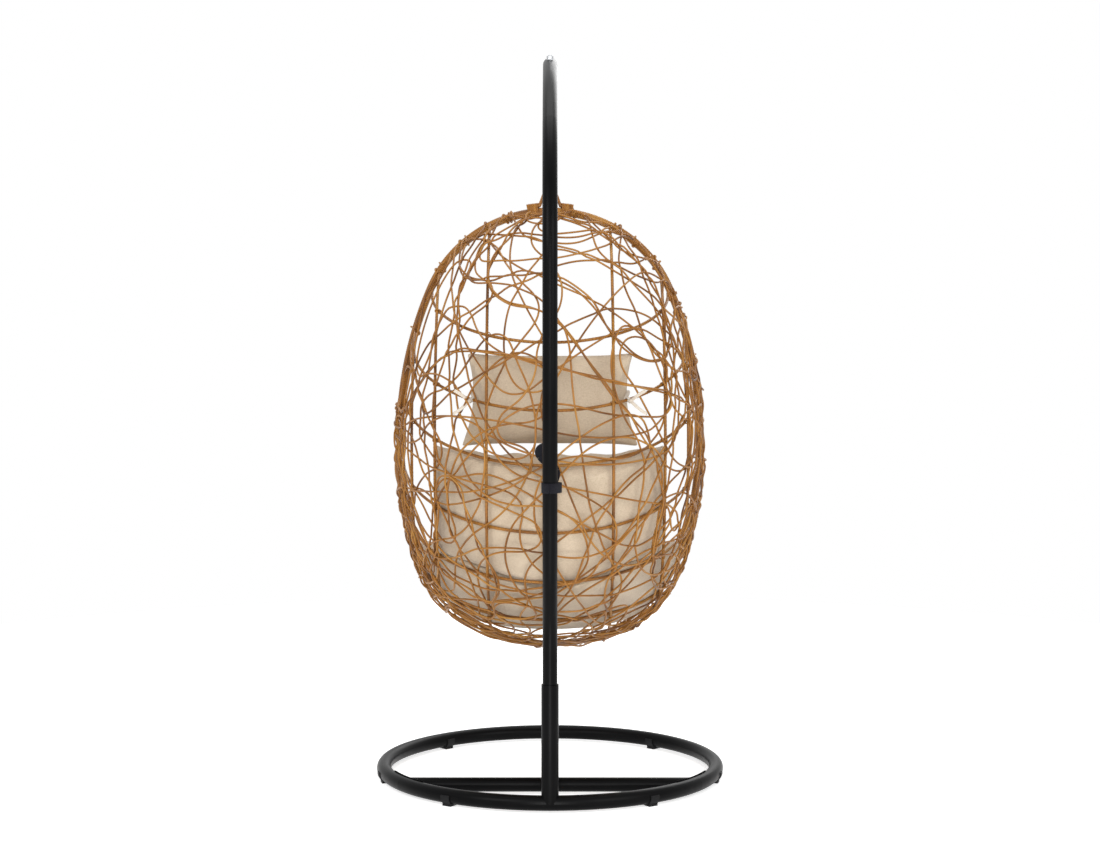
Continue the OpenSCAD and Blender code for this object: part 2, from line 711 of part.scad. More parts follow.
module face_frame() {
    color(wicker) in_basket() {
        frame_arc(0, top_centre_h, top_arc_r, high_turn, 180 - 2 * high_turn);
        frame_arc(0, bottom_arc_r, bottom_arc_r, 180 - low_turn, 180 + 2 * low_turn);
        frame_arc(-side_x, side_h, side_arc_r, low_turn, high_turn - low_turn, true);
        frame_arc(side_x, side_h, side_arc_r, 180 - high_turn, high_turn - low_turn, true);
    }
}

// Hoops: rods that run level round the back, from one side of the frame to the other
hoop_steps = 24;

module hoops() {
    color(wicker) in_basket() for (h = hoop_h) {
        start = asin((frame_r + frame_gap) / (depth(h) - hoop_in));
        turns = [for (i = [0:hoop_steps]) start + (180 - 2 * start) * i / hoop_steps];
        rod_sweep([for (t = turns) at_shell(t, h, -hoop_in)], [for (t = turns) outward(t, h)], rod_d);
    }
}

// Ribs: rods that run from the top of the frame down the back and under the seat
rib_steps = 28;
function rib_turn(x, h) = acos(min(1, x / egg_x(h)));
function rib_depth(x, low, high, a) = let (h = (low + high) / 2 - (high - low) / 2 * cos(a))
    depth(h) * sin(rib_turn(x, h));
function rib_start(x, low, high, lo, hi, n = 22) = n == 0 ? hi
    : rib_depth(x, low, high, (lo + hi) / 2) < frame_r + frame_gap
        ? rib_start(x, low, high, (lo + hi) / 2, hi, n - 1)
        : rib_start(x, low, high, lo, (lo + hi) / 2, n - 1);

module rib(x) {
    low = outline_h(x, 0, side_h, 1);
    high = outline_h(x, side_h, basket_h, 0);
    first = rib_start(x, low, high, 0, 80);
    final = rib_start(x, low, high, 180, 100);
    heights = [for (i = [0:rib_steps]) (low + high) / 2
        - (high - low) / 2 * cos(first + (final - first) * i / rib_steps)];
    rod_sweep([for (h = heights) shell(rib_turn(x, h), h)], [for (h = heights) outward(rib_turn(x, h), h)], rod_d);
}

module ribs() {
    color(wicker) in_basket() for (x = rib_x) {
        rib(x);
        if (x > 0) mirror([1, 0, 0]) rib(x);
    }
}

// Weave: panels of crossing strands that lie on the ribs, five bands of five panels
panel_turns = 5;
panel_bands = 5;
band_low = 9;
band_high = 171;
strand_half = strand_w / sqrt(2);
function noise(i, j, k) = let (v = sin(i * 127.1 + j * 311.7 + k * 74.7) * 43758.5453) 2 * (v - floor(v)) - 1;
function net_height(v) = basket_h / 2 * (1 - cos(band_low + (band_high - band_low) * v / (panel_bands * panel_cells)));
function net_start(h) = asin(min(1, (frame_r + frame_gap + strand_t / 2) / depth(h)));
function net_turn(u, h) = net_start(h) + (180 - 2 * net_start(h)) * u / (panel_turns * panel_cells);

// A panel covers cells i0.. and j0.. of the whole net
module weave_panel(i0, j0) {
    n = panel_cells;
    // angle and height of a crossing, which wanders a little except on the panel's border
    function place(i, j) = let (
        du = i == 0 || i == n ? 0 : weave_wander * noise(i + i0, j + j0, 1),
        dv = j == 0 || j == n ? 0 : weave_wander * noise(i + i0, j + j0, 2),
        h = net_height(j + j0 + dv)) [net_turn(i + i0 + du, h), h];
    // how far a straight strand between two crossings cuts in behind the curved shell
    function bow(a, b) = norm(shell((a[0] + b[0]) / 2, (a[1] + b[1]) / 2)
        - (shell(a[0], a[1]) + shell(b[0], b[1])) / 2);
    function lift(i, j) = max([for (di = [-1, 1], dj = [-1, 1])
        let (x = i + di, y = j + dj)
        x < 0 || x > n || y < 0 || y > n ? 0 : bow(place(i, j), place(x, y))]);
    cells = [for (j = [0:n], i = [0:n]) if ((i + j + i0 + j0) % 2 == 0) [i, j]];
    index = [for (j = [0:n]) [for (i = [0:n]) (i + j + i0 + j0) % 2 == 0
        ? len([for (c = cells) if (c[1] < j || (c[1] == j && c[0] < i)) 1]) : -1]];
    inset = strand_half + touch / 2;
    corners = [for (c = cells)
        let (p = place(c[0], c[1]), t = p[0], h = p[1],
             e = across(t, h), f = along(t, h), out = outward(t, h),
             mid = shell(t, h) + (weave_out + lift(c[0], c[1])) * out
                 + e * (c[0] == 0 ? inset : c[0] == n ? -inset : 0)
                 + f * (c[1] == 0 ? inset : c[1] == n ? -inset : 0))
        for (side = [1, -1], d = [e, f, -e, -f]) mid + strand_half * d + side * strand_t / 2 * out];
    // corner numbers of a crossing: 0 east, 1 north, 2 west, 3 south, and 4 more inside
    function has(i, j) = i >= 0 && i <= n && j >= 0 && j <= n;
    tops = [for (q = [0:len(cells) - 1]) let (b = 8 * q)
        each [[b, b + 2, b + 1], [b, b + 3, b + 2], [b + 4, b + 5, b + 6], [b + 4, b + 6, b + 7]]];
    // a strand runs from corner pair (a, b) of one crossing to pair (c, d) of the next
    strands = [for (q = [0:len(cells) - 1], k = [0, 1])
        let (c = cells[q], i = c[0] + (k == 0 ? 1 : -1), j = c[1] + 1)
        if (has(i, j)) let (b = 8 * q, e = 8 * index[j][i],
            p = k == 0 ? [b, b + 1, e + 2, e + 3] : [b + 1, b + 2, e + 3, e])
        each [[p[0], p[1], p[2]], [p[0], p[2], p[3]],
            [p[0] + 4, p[2] + 4, p[1] + 4], [p[0] + 4, p[3] + 4, p[2] + 4],
            [p[0], p[3], p[3] + 4], [p[0], p[3] + 4, p[0] + 4],
            [p[1], p[2] + 4, p[2]], [p[1], p[1] + 4, p[2] + 4]]];
    // ends: a crossing with no strand on one of its four sides is closed there
    ends = [for (q = [0:len(cells) - 1], k = [0:3])
        let (c = cells[q], i = c[0] + [1, -1, -1, 1][k], j = c[1] + [1, 1, -1, -1][k])
        if (!has(i, j)) let (b = 8 * q, a = b + k, d = b + (k + 1) % 4)
        each [[a, d, d + 4], [a, d + 4, a + 4]]];
    polyhedron(corners, concat(tops, strands, ends), convexity = 10);
}

module weave_band(band) {
    color(wicker) in_basket() for (p = [0:panel_turns - 1])
        weave_panel(p * panel_cells, band * panel_cells);
}

module weave_base() { weave_band(0); }
module weave_lower() { weave_band(1); }
module weave_middle() { weave_band(2); }
module weave_upper() { weave_band(3); }
module weave_crown() { weave_band(4); }

// Closed skin over two grids of points that share their border: top and bottom
module two_sided(top, bottom) {
    rows = len(top);
    cols = len(top[0]);
    last = rows * cols;
    points = concat([for (r = top) each r], [for (r = bottom) each r]);
    faces = concat(
        [for (i = [0:rows - 2], j = [0:cols - 2]) let (a = i * cols + j)
            each [[a, a + cols, a + cols + 1], [a, a + cols + 1, a + 1]]],
        [for (i = [0:rows - 2], j = [0:cols - 2]) let (a = last + i * cols + j)
            each [[a, a + cols + 1, a + cols], [a, a + 1, a + cols + 1]]],
        [for (i = [0:rows - 2]) each let (a = i * cols, b = a + cols - 1)
            [[a, last + a, last + a + cols], [a, last + a + cols, a + cols],
             [b, b + cols, last + b + cols], [b, last + b + cols, last + b]]],
        [for (j = [0:cols - 2]) each let (a = j, b = (rows - 1) * cols + j)
            [[a, a + 1, last + a + 1], [a, last + a + 1, last + a],
             [b, last + b + 1, b + 1], [b, last + b, last + b + 1]]]);
    polyhedron(points, faces, convexity = 6);
}

cushion_in = hoop_in + rod_d / 2 + touch + 0.5;
seam_t = 8;
function swell(s, power) = pow(max(0, 1 - pow(abs(s), power)), 0.5);
function channel(s, width) = exp(-s * s / (width * width));

// Back cushion: follows the basket's back, crowned to the front, with two sewn channels
// across it. Its border seam stands a little way off the basket.
back_cols = 26;
back_rows = 18;
back_channels = [-0.36, 0.34];
back_channel_depth = 34;
back_seam_in = 14;
back_top_drop = 66;
back_low_rise = 34;

function back_turn(s) = 90 + back_half_turn * s;
function back_h(s, v) = let (low = back_low_h + back_low_rise * s * s, high = back_high_h - back_top_drop * s * s)
    (low + high) / 2 + (high - low) / 2 * v;
function back_fill(s, v) = (back_t - back_seam_in - seam_t) * swell(s, 4) * swell(v, 4)
    - back_channel_depth * swell(s, 4) * swell(v, 6) * max([for (c = back_channels) channel(v - c, 0.09)]);

module back_cushion() {
    function skin(i, j, out) = let (v = -cos(180 * i / back_rows), s = -cos(180 * j / back_cols))
        at_shell(back_turn(s), back_h(s, v), -cushion_in
            - (out == 1 ? back_seam_in + seam_t + back_fill(s, v)
                : back_seam_in * (1 - swell(s, 6) * swell(v, 6))));
    color(linen) in_basket() two_sided(
        [for (i = [0:back_rows]) [for (j = [0:back_cols]) skin(i, j, 1)]],
        [for (i = [0:back_rows]) [for (j = [0:back_cols]) skin(i, j, 0)]]);
}

// Seat cushion: a thick round-backed pad whose wall lies in the bowl of the basket and
// whose top and underside are level. Spokes run round the bowl and back along the front.
seat_bowl_spokes = 34;
seat_front_spokes = 10;
seat_wall_rings = 9;
seat_top_rings = 6;
seat_edge = 26;
seat_front_gap = 18;
seat_side_rise = 78;

function level(p) = p[1] * sin(basket_lean) + p[2] * cos(basket_lean);
function bowl_at(t, z, in, lo = 20, hi = 700, n = 20) = n == 0 ? at_shell(t, (lo + hi) / 2, -in)
    : level(at_shell(t, (lo + hi) / 2, -in)) < z ? bowl_at(t, z, in, (lo + hi) / 2, hi, n - 1)
        : bowl_at(t, z, in, lo, (lo + hi) / 2, n - 1);

function seat_rise(t) = seat_side_rise * pow(cos(t), 2) / (pow(cos(t), 2) + 0.24);
function seat_level(t, s) = (seat_low + seat_high + seat_rise(t)) / 2
    + (seat_high + seat_rise(t) - seat_low) / 2 * s;

function seat_wall(k, s) =
    let (in = cushion_in + seat_edge * (1 - swell(s, 6)),
         from = asin((frame_r + seat_front_gap) / depth(seat_level(0, s))))
    k <= seat_bowl_spokes
    ? let (t = from + (180 - 2 * from) * k / seat_bowl_spokes) bowl_at(t, seat_level(t, s), in)
    : let (q = (k - seat_bowl_spokes) / seat_front_spokes, e = bowl_at(from, seat_level(from, s), in),
           sag = (seat_level(from, s) - seat_level(90, s)) * sin(180 * q))
        [e[0] * (2 * q - 1), e[1] - seat_edge * 0.6 * (1 - swell(s, 6)) * sin(180 * q), e[2] - sag];

module seat_cushion() {
    n = seat_bowl_spokes + seat_front_spokes;
    wall = [for (j = [0:seat_wall_rings - 1]) let (s = -cos(180 * j / (seat_wall_rings - 1)))
        [for (k = [0:n - 1]) seat_wall(k, s)]];
    low = wall[0];
    high = wall[seat_wall_rings - 1];
    mid_low = (low[seat_bowl_spokes / 2] + low[seat_bowl_spokes + seat_front_spokes / 2]) / 2;
    mid_high = (high[seat_bowl_spokes / 2] + high[seat_bowl_spokes + seat_front_spokes / 2]) / 2;
    up = [0, sin(basket_lean), cos(basket_lean)];
    function cap(mid, rim, r, rise) = mid + (rim - mid) * r + rise * up;
    under = [for (i = [1:seat_top_rings - 1]) let (r = i / seat_top_rings)
        [for (k = [0:n - 1]) cap(mid_low, low[k], r, 0)]];
    over = [for (i = [seat_top_rings - 1:-1:1]) let (r = i / seat_top_rings)
        [for (k = [0:n - 1]) cap(mid_high, high[k], r, seat_crown * pow(1 - r * r, 0.7))]];
    rings = concat(under, wall, over);
    m = len(rings);
    points = concat([for (r = rings) each r], [mid_low, mid_high + seat_crown * up]);
    faces = concat(
        [for (i = [0:m - 2], k = [0:n - 1]) let (a = i * n + k, b = i * n + (k + 1) % n)
            each [[a, b + n, b], [a, a + n, b + n]]],
        [for (k = [0:n - 1]) let (a = k, b = (k + 1) % n)
            each [[m * n, a, b], [m * n + 1, (m - 1) * n + b, (m - 1) * n + a]]]);
    color(linen) in_basket() polyhedron(points, faces, convexity = 4);
}

// Head pillow: a crowned pillow whose sides draw in between its corners
pillow_h_mid = 864;
pillow_flare = 0.03;
pillow_depth = 420;
pillow_cols = 24;
pillow_rows = 16;

function pillow_x(s, v) = pillow_w / 2 * s * (1 - 0.07 * (1 - v * v) * abs(s)) * (1 - pillow_flare * v);

module head_pillow() {
    function z(s, v) = pillow_h / 2 * v * (1 - 0.05 * (1 - s * s) * abs(v));
    function half(s, v) = 2 + (pillow_t / 2 - 2) * swell(s, 2.6) * swell(v, 2.6);
    grid = function (side) [for (i = [0:pillow_rows]) let (v = -cos(180 * i / pillow_rows))
        [for (j = [0:pillow_cols]) let (s = -cos(180 * j / pillow_cols))
            [pillow_x(s, v), -pillow_depth + side * half(s, v), pillow_h_mid + z(s, v)]]];
    color(linen) in_basket() two_sided(grid(-1), grid(1));
}

// Ties at the pillow's sides: a tape from its seam to a knot round the hoop behind it
tie_hoop = hoop_h[4];
tie_x = 208;
tie_t = 1.2;
tie_ring_r = rod_d / 2 + 1.8;
tie_ring_wall = 1.8;

module pillow_ties() {
    t = acos(tie_x / (egg_x(tie_hoop) - hoop_in));
    spot = at_shell(t, tie_hoop, -hoop_in);
    seam = [pillow_x(1, (tie_hoop - pillow_h_mid) * 2 / pillow_h) + tie_t / 2 + 0.4 + touch, -pillow_depth + 3];
    run = seam - [spot[0], spot[1]];
    start = tie_ring_r + tie_ring_wall / 2;
    color(linen) in_basket() for (side = [0, 1]) mirror([side, 0, 0]) {
        translate(spot) rotate([0, 0, atan2(across(t, tie_hoop)[1], across(t, tie_hoop)[0])])
            rotate([0, 90, 0]) difference() {
                cylinder(r = tie_ring_r + tie_ring_wall, h = tie_w, center = true, $fn = 48);
                cylinder(r = tie_ring_r, h = tie_w + 2, center = true, $fn = 48);
            }
        translate(spot) rotate([0, 0, atan2(run[1], run[0])])
            translate([start, -tie_t / 2, -tie_w / 2 + 0.2]) cube([norm(run) - start, tie_t, tie_w - 0.4]);
    }
}

// Safety strap: a band round the pole, a loop round the middle rib and the run between
strap_turn = asin((upright_z - strap_h) / upright_bend_r);
strap_y = upright_y + upright_bend_r * (1 - cos(strap_turn));
strap_reach_y = strap_w / 2 * tan(strap_turn);
strap_ring_r = pole_r / cos(strap_turn) + 0.6;

module strap_outline(wall) {
    hull() {
        for (y = [-strap_reach_y, strap_reach_y]) translate([0, y]) circle(r = strap_ring_r + wall, $fn = 64);
        translate([strap_slack, 4]) circle(r = strap_ring_r + wall - 4, $fn = 64);
    }
}

module strap_band() {
    color(webbing) translate([0, strap_y, strap_h - strap_w / 2]) linear_extrude(strap_w) difference() {
        strap_outline(strap_t);
        strap_outline(0);
    }
}

// Place on the middle rib that the strap loops round, between two strands of the weave,
// with the rib along +Z
strap_rib_h = (net_height(14.5) + net_height(15.5)) / 2;
strap_rib_turn = atan2(slope_d(strap_rib_h), 1);

module at_strap_rib() {
    in_basket() translate(shell(90, strap_rib_h)) rotate([strap_rib_turn, 0, 0]) children();
}

strap_loop_reach = 21;
strap_in = rod_d / 2 + 1;

module strap_rib_loop() {
    color(webbing) at_strap_rib() translate([0, 0, -strap_w / 2]) linear_extrude(strap_w) difference() {
        hull() {
            circle(r = strap_in + strap_t, $fn = 48);
            translate([0, -strap_loop_reach]) circle(r = strap_t + 0.2, $fn = 24);
        }
        hull() {
            circle(r = strap_in, $fn = 48);
            translate([0, -strap_loop_reach]) circle(r = 0.2, $fn = 24);
        }
    }
}

// Both ends of the strap's run, as points in the YZ plane
strap_low = [strap_y + strap_reach_y + strap_ring_r + strap_t * 1.5 + touch, strap_h + 3];
strap_reach = strap_loop_reach + strap_t * 1.5 + 0.2 + touch;
strap_fix = [0, -depth(strap_rib_h) - strap_reach * cos(strap_rib_turn),
    strap_rib_h - strap_reach * sin(strap_rib_turn)];
strap_high = [basket_y + strap_fix[1] * cos(basket_lean) - strap_fix[2] * sin(basket_lean),
    basket_z + strap_fix[1] * sin(basket_lean) + strap_fix[2] * cos(basket_lean)];

module strap_run() {
    steps = 14;
    path = [for (i = [0:steps]) let (s = i / steps, p = strap_low + (strap_high - strap_low) * s)
        [0, p[0] + 9 * sin(180 * s), p[1] - 12 * sin(180 * s)]];
    color(webbing) sweep(path, [for (p = path) [0, 1, 0.4]], strap_w / sqrt(2), strap_t / sqrt(2), 4);
}

ring_rear();
ring_front_left();
ring_front_right();
crossbar();
saddle_plates();
base_bolts();
glides();
pole_socket();
lower_pole();
upper_pole();
arch_cap();
eye_bolt();
eye_washer();
eye_nut();
upper_hook();
upper_gate();
upper_gate_pin();
chain();
lower_hook();
lower_gate();
lower_gate_pin();
basket_hanger();
hanger_wraps();
face_frame();
hoops();
ribs();
weave_crown();
weave_upper();
weave_middle();
weave_lower();
weave_base();
seat_cushion();
back_cushion();
head_pillow();
pillow_ties();
strap_band();
strap_run();
strap_rib_loop();
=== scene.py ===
import math

import bpy
import numpy as np
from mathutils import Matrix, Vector, bvhtree, kdtree


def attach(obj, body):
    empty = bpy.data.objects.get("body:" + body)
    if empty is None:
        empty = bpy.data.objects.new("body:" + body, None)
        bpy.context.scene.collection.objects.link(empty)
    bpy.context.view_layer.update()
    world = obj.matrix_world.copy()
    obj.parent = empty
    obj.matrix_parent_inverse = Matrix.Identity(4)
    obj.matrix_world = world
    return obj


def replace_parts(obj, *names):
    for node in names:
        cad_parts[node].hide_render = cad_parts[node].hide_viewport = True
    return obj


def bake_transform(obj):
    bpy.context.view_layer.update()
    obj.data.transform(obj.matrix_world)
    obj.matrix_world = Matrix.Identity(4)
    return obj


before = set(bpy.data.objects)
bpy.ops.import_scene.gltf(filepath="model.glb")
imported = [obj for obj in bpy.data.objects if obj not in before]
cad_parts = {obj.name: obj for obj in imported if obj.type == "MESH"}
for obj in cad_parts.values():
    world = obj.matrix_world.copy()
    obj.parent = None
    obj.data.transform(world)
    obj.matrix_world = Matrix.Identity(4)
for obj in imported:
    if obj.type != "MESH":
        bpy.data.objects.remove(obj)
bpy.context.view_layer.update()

# ---------------------------------------------------------------------------------------
# Viewpoint, lamps and floor
# The chair is looked at from behind, a little above the middle of its basket.
# It stands on a plain white floor among soft lamps. A tall strip draws the long highlight
# down the pole, and a small low one lights the pole's lower half.

sight = bpy.data.cameras.new("viewpoint")
sight.lens = 80.88
sight.sensor_width = 36
viewpoint = bpy.data.objects.new("viewpoint", sight)
viewpoint.location = (0, -6.616, 1.484)
viewpoint.rotation_euler = (math.radians(85.381), 0, 0)
bpy.context.scene.collection.objects.link(viewpoint)
bpy.context.scene.camera = viewpoint
bpy.context.scene.view_settings.view_transform = "Standard"


def add_lamp(name, place, target, size, power, tall=None):
    lamp = bpy.data.lights.new(name, "AREA")
    lamp.shape = "RECTANGLE"
    lamp.size, lamp.size_y = size, tall or size
    lamp.energy = power
    holder = bpy.data.objects.new(name, lamp)
    holder.location = place
    holder.rotation_euler = (Vector(target) - Vector(place)).to_track_quat("-Z", "Y").to_euler()
    bpy.context.scene.collection.objects.link(holder)


basket_middle = (0, 0, 1)
add_lamp("left_softbox", (-2.6, -3.6, 3.0), basket_middle, 2.2, 80)
add_lamp("right_softbox", (2.8, -3.2, 2.2), basket_middle, 2.2, 57)
add_lamp("top_softbox", (0, 0.6, 4.4), basket_middle, 2.6, 42)
add_lamp("front_strip", (0, -4.0, 1.20), (0, 0, 1.20), 1.1, 48, tall=2.3)
add_lamp("low_strip", (0, -1.12, 0.12), (0, -0.44, 0.72), 0.22, 2.2, tall=0.34)
add_lamp("far_softbox", (1.2, 3.8, 2.8), basket_middle, 2.2, 44)


def add_node(tree, kind, settings=None, inputs=None):
    """A shader node with its settings and the plain values of its inputs."""
    node = tree.nodes.new("ShaderNode" + kind)
    for key, value in (settings or {}).items():
        setattr(node, key, value)
    for key, value in (inputs or {}).items():
        node.inputs[key].default_value = value
    return node


def maths(tree, operation, *values):
    """A Math node. A value is a number or another node's output."""
    node = add_node(tree, "Math", {"operation": operation})
    for index, value in enumerate(values):
        if isinstance(value, (int, float)):
            node.inputs[index].default_value = value
        else:
            tree.links.new(value, node.inputs[index])
    return node.outputs[0]


def new_material(name):
    """An empty material with its Principled shader, already joined to the output."""
    material = bpy.data.materials.new(name)
    material.use_nodes = True
    tree = material.node_tree
    tree.nodes.clear()
    shader = add_node(tree, "BsdfPrincipled")
    output = add_node(tree, "OutputMaterial")
    tree.links.new(shader.outputs[0], output.inputs[0])
    return material, tree, shader


def seen_directly(tree):
    """1 for rays from the camera, or by way of a mirror or clear glass."""
    path = add_node(tree, "LightPath")
    seen = maths(tree, "MAXIMUM", path.outputs["Is Camera Ray"], path.outputs["Is Glossy Ray"])
    return maths(tree, "MAXIMUM", seen, path.outputs["Is Transmission Ray"])


world = bpy.data.worlds.new("studio")
bpy.context.scene.world = world
world.use_nodes = True
sky = world.node_tree
sky.nodes.clear()
surround = add_node(sky, "Background", inputs={"Color": (1, 1, 1, 1)})
room_level = 0.56
level = maths(sky, "MULTIPLY_ADD", seen_directly(sky), 1 - room_level, room_level)
sky.links.new(level, surround.inputs["Strength"])
sky.links.new(surround.outputs[0], add_node(sky, "OutputWorld").inputs[0])


def add_mesh(name, points, faces, material, smooth=True):
    """A mesh piece from its points and faces."""
    mesh = bpy.data.meshes.new(name)
    mesh.from_pydata([tuple(p) for p in points], [], [tuple(f) for f in faces])
    mesh.materials.append(material)
    mesh.polygons.foreach_set("use_smooth", [smooth] * len(mesh.polygons))
    mesh.update()
    piece = bpy.data.objects.new(name, mesh)
    bpy.context.scene.collection.objects.link(piece)
    return piece


floor_paint, tree, shader = new_material("floor_paint")
shader.inputs["Base Color"].default_value = (0.86, 0.86, 0.86, 1)
shader.inputs["Roughness"].default_value = 0.9
shader.inputs["Specular IOR Level"].default_value = 0.0
shader.inputs["Emission Color"].default_value = (1, 1, 1, 1)
tree.links.new(maths(tree, "MULTIPLY", seen_directly(tree), 0.62), shader.inputs["Emission Strength"])
floor_r, floor_sides = 3.4, 96
floor_rim = [(floor_r * math.cos(a), floor_r * math.sin(a), 0)
             for a in np.linspace(0, 2 * math.pi, floor_sides + 1)[:-1]]
floor = add_mesh("floor", floor_rim, [range(floor_sides)], floor_paint, smooth=False)

# ---------------------------------------------------------------------------------------
# Floor ring, crossbar, saddle plates and pole
# Bent steel tube with swaged joints, powder coated in a fine satin black. The pieces come
# from the CAD model, and only their coat is made here.


def new_group(name, inputs, outputs):
    """A shader node group with its sockets, its own input and output nodes, and its tree."""
    tree = bpy.data.node_groups.new(name, "ShaderNodeTree")
    for label, kind, value in inputs:
        socket = tree.interface.new_socket(label, in_out="INPUT", socket_type="NodeSocket" + kind)
        if value is not None:
            socket.default_value = value
    for label, kind in outputs:
        tree.interface.new_socket(label, in_out="OUTPUT", socket_type="NodeSocket" + kind)
    return tree, tree.nodes.new("NodeGroupInput"), tree.nodes.new("NodeGroupOutput")


def place_group(tree, group, vector=None, **inputs):
    """Puts a node group in a material with its own values."""
    node = tree.nodes.new("ShaderNodeGroup")
    node.node_tree = group
    if vector is not None:
        tree.links.new(vector, node.inputs["Vector"])
    for key, value in inputs.items():
        node.inputs[key].default_value = value
    return node


def mix_colours(tree, factor, low, high):
    """Low colour to high colour by a factor that changes over the surface."""
    node = add_node(tree, "Mix", {"data_type": "RGBA"})
    tree.links.new(factor, node.inputs[0])
    for index, colour in ((6, low), (7, high)):
        if isinstance(colour, tuple):
            node.inputs[index].default_value = (*colour, 1)
        else:
            tree.links.new(colour, node.inputs[index])
    return node.outputs[2]


def add_relief(tree, shader, height, strength, distance):
    """Bump on a surface that follows a height."""
    relief = add_node(tree, "Bump", inputs={"Strength": strength, "Distance": distance})
    tree.links.new(height, relief.inputs["Height"])
    tree.links.new(relief.outputs[0], shader.inputs["Normal"])


# Grain of a coat, a moulding or a plated part: fine pimples and a slow mottle
coat_grain, tree_in, tree_out = new_group(
    "coat_grain",
    [("Vector", "Vector", None), ("Fine", "Float", 900.0), ("Slow", "Float", 9.0)],
    [("Pimples", "Float"), ("Mottle", "Float")])
fine = add_node(coat_grain, "TexNoise", inputs={"Detail": 2.0, "Roughness": 0.6})
slow = add_node(coat_grain, "TexNoise", inputs={"Detail": 4.0, "Roughness": 0.55})
for texture, scale, result in ((fine, "Fine", "Pimples"), (slow, "Slow", "Mottle")):
    coat_grain.links.new(tree_in.outputs["Vector"], texture.inputs["Vector"])
    coat_grain.links.new(tree_in.outputs[scale], texture.inputs["Scale"])
    coat_grain.links.new(texture.outputs[0], tree_out.inputs[result])


def coated(name, low, high, roughness, bump, fine, slow, metallic=0.0, specular=0.5):
    """A hard finish: colour, roughness and pimples all follow the coat's grain."""
    material, tree, shader = new_material(name)
    spot = add_node(tree, "TexCoord").outputs["Object"]
    grain = place_group(tree, coat_grain, spot, Fine=fine, Slow=slow)
    mottle, pimples = grain.outputs["Mottle"], grain.outputs["Pimples"]
    spread = add_node(tree, "MapRange", inputs={"From Min": 0.35, "From Max": 0.65})
    tree.links.new(mottle, spread.inputs["Value"])
    tree.links.new(mix_colours(tree, spread.outputs[0], low, high), shader.inputs["Base Color"])
    rough = maths(tree, "MULTIPLY_ADD", pimples, 0.12, roughness - 0.06)
    rough = maths(tree, "MULTIPLY_ADD", mottle, 0.10, rough)
    tree.links.new(rough, shader.inputs["Roughness"])
    add_relief(tree, shader, pimples, 1.0, bump)
    shader.inputs["Metallic"].default_value = metallic
    shader.inputs["Specular IOR Level"].default_value = specular
    return material


def finish_nodes(names, material):
    """Gives CAD pieces, which stay as they are, their material."""
    for name in names.split():
        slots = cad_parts[name].data.materials
        slots.clear()
        slots.append(material)


powder_coat = coated("powder_coat", (0.0016, 0.0016, 0.0018), (0.0028, 0.0028, 0.0030),
                     0.29, 0.00002, 1100, 7, specular=0.062)
finish_nodes("ring_rear ring_front_left ring_front_right crossbar saddle_plates "
             "lower_pole upper_pole pole_socket", powder_coat)

# ---------------------------------------------------------------------------------------
# Glides and pole cap
# Moulded black polypropylene clips that grip the ring and stand on the floor, and the
# domed cap in the pole's upper end. Their skin is duller than the coat.

black_plastic = coated("black_plastic", (0.0060, 0.0060, 0.0065), (0.0105, 0.0105, 0.011),
                       0.50, 0.00010, 700, 16, specular=0.12)
finish_nodes("glides arch_cap", black_plastic)

# ---------------------------------------------------------------------------------------
# Bolts, eye bolt, snap hooks and chain
# Bright zinc-plated steel. The hooks and the short chain carry the basket, and plating
# gives them a faint cloudy bloom.

zinc_steel = coated("zinc_steel", (0.42, 0.43, 0.44), (0.62, 0.63, 0.65),
                    0.34, 0.00005, 1300, 60, metallic=1.0)
finish_nodes("base_bolts eye_bolt eye_washer eye_nut upper_hook upper_gate upper_gate_pin chain "
             "lower_hook lower_gate lower_gate_pin", zinc_steel)

# ---------------------------------------------------------------------------------------
# Face frame
# Egg-shaped loop of steel tube that the whole basket hangs from. Flat resin wicker is
# wound round it edge to edge, so each turn stands up as a rounded band.

basket_lean = math.radians(13.6)
basket_foot = np.array((0, 0.383316, 0.31485))
basket_h, basket_depth, belly_h, belly_power = 1.262, 0.652, 0.599, 2.1
top_arc, bottom_arc, side_arc = 0.354, 0.383, 1.125
low_arc, high_arc = side_arc - bottom_arc, side_arc - top_arc
top_centre = basket_h - top_arc
side_h = (low_arc**2 - high_arc**2 - bottom_arc**2 + top_centre**2) / (2 * (top_centre - bottom_arc))
side_x = math.sqrt(low_arc**2 - (side_h - bottom_arc) ** 2)
low_join = bottom_arc * (1 + math.sin(math.atan2(bottom_arc - side_h, side_x)))
high_join = top_centre + top_arc * math.sin(math.atan2(top_centre - side_h, side_x))


def half_width(h):
    """Half width of the egg outline at height h."""
    low = np.sqrt(np.maximum(0, h * (2 * bottom_arc - h)))
    high = np.sqrt(np.maximum(0, top_arc**2 - (h - top_centre) ** 2))
    side = np.sqrt(side_arc**2 - (h - side_h) ** 2) - side_x
    return np.where(h < low_join, low, np.where(h > high_join, high, side))


def depth_at(h):
    """Depth of the basket behind its face frame at height h."""
    below = 1 - np.maximum(0, (belly_h - h) / belly_h) ** belly_power
    above = np.sqrt(np.maximum(0, 1 - ((h - belly_h) / (basket_h - belly_h)) ** 2))
    return basket_depth * np.where(h < belly_h, below, above)


def one(measure, h):
    """A measure of the egg at a single height, as a plain number."""
    return float(measure(np.array(h)))


def unit(v):
    return v / np.maximum(1e-12, np.linalg.norm(v, axis=-1, keepdims=True))


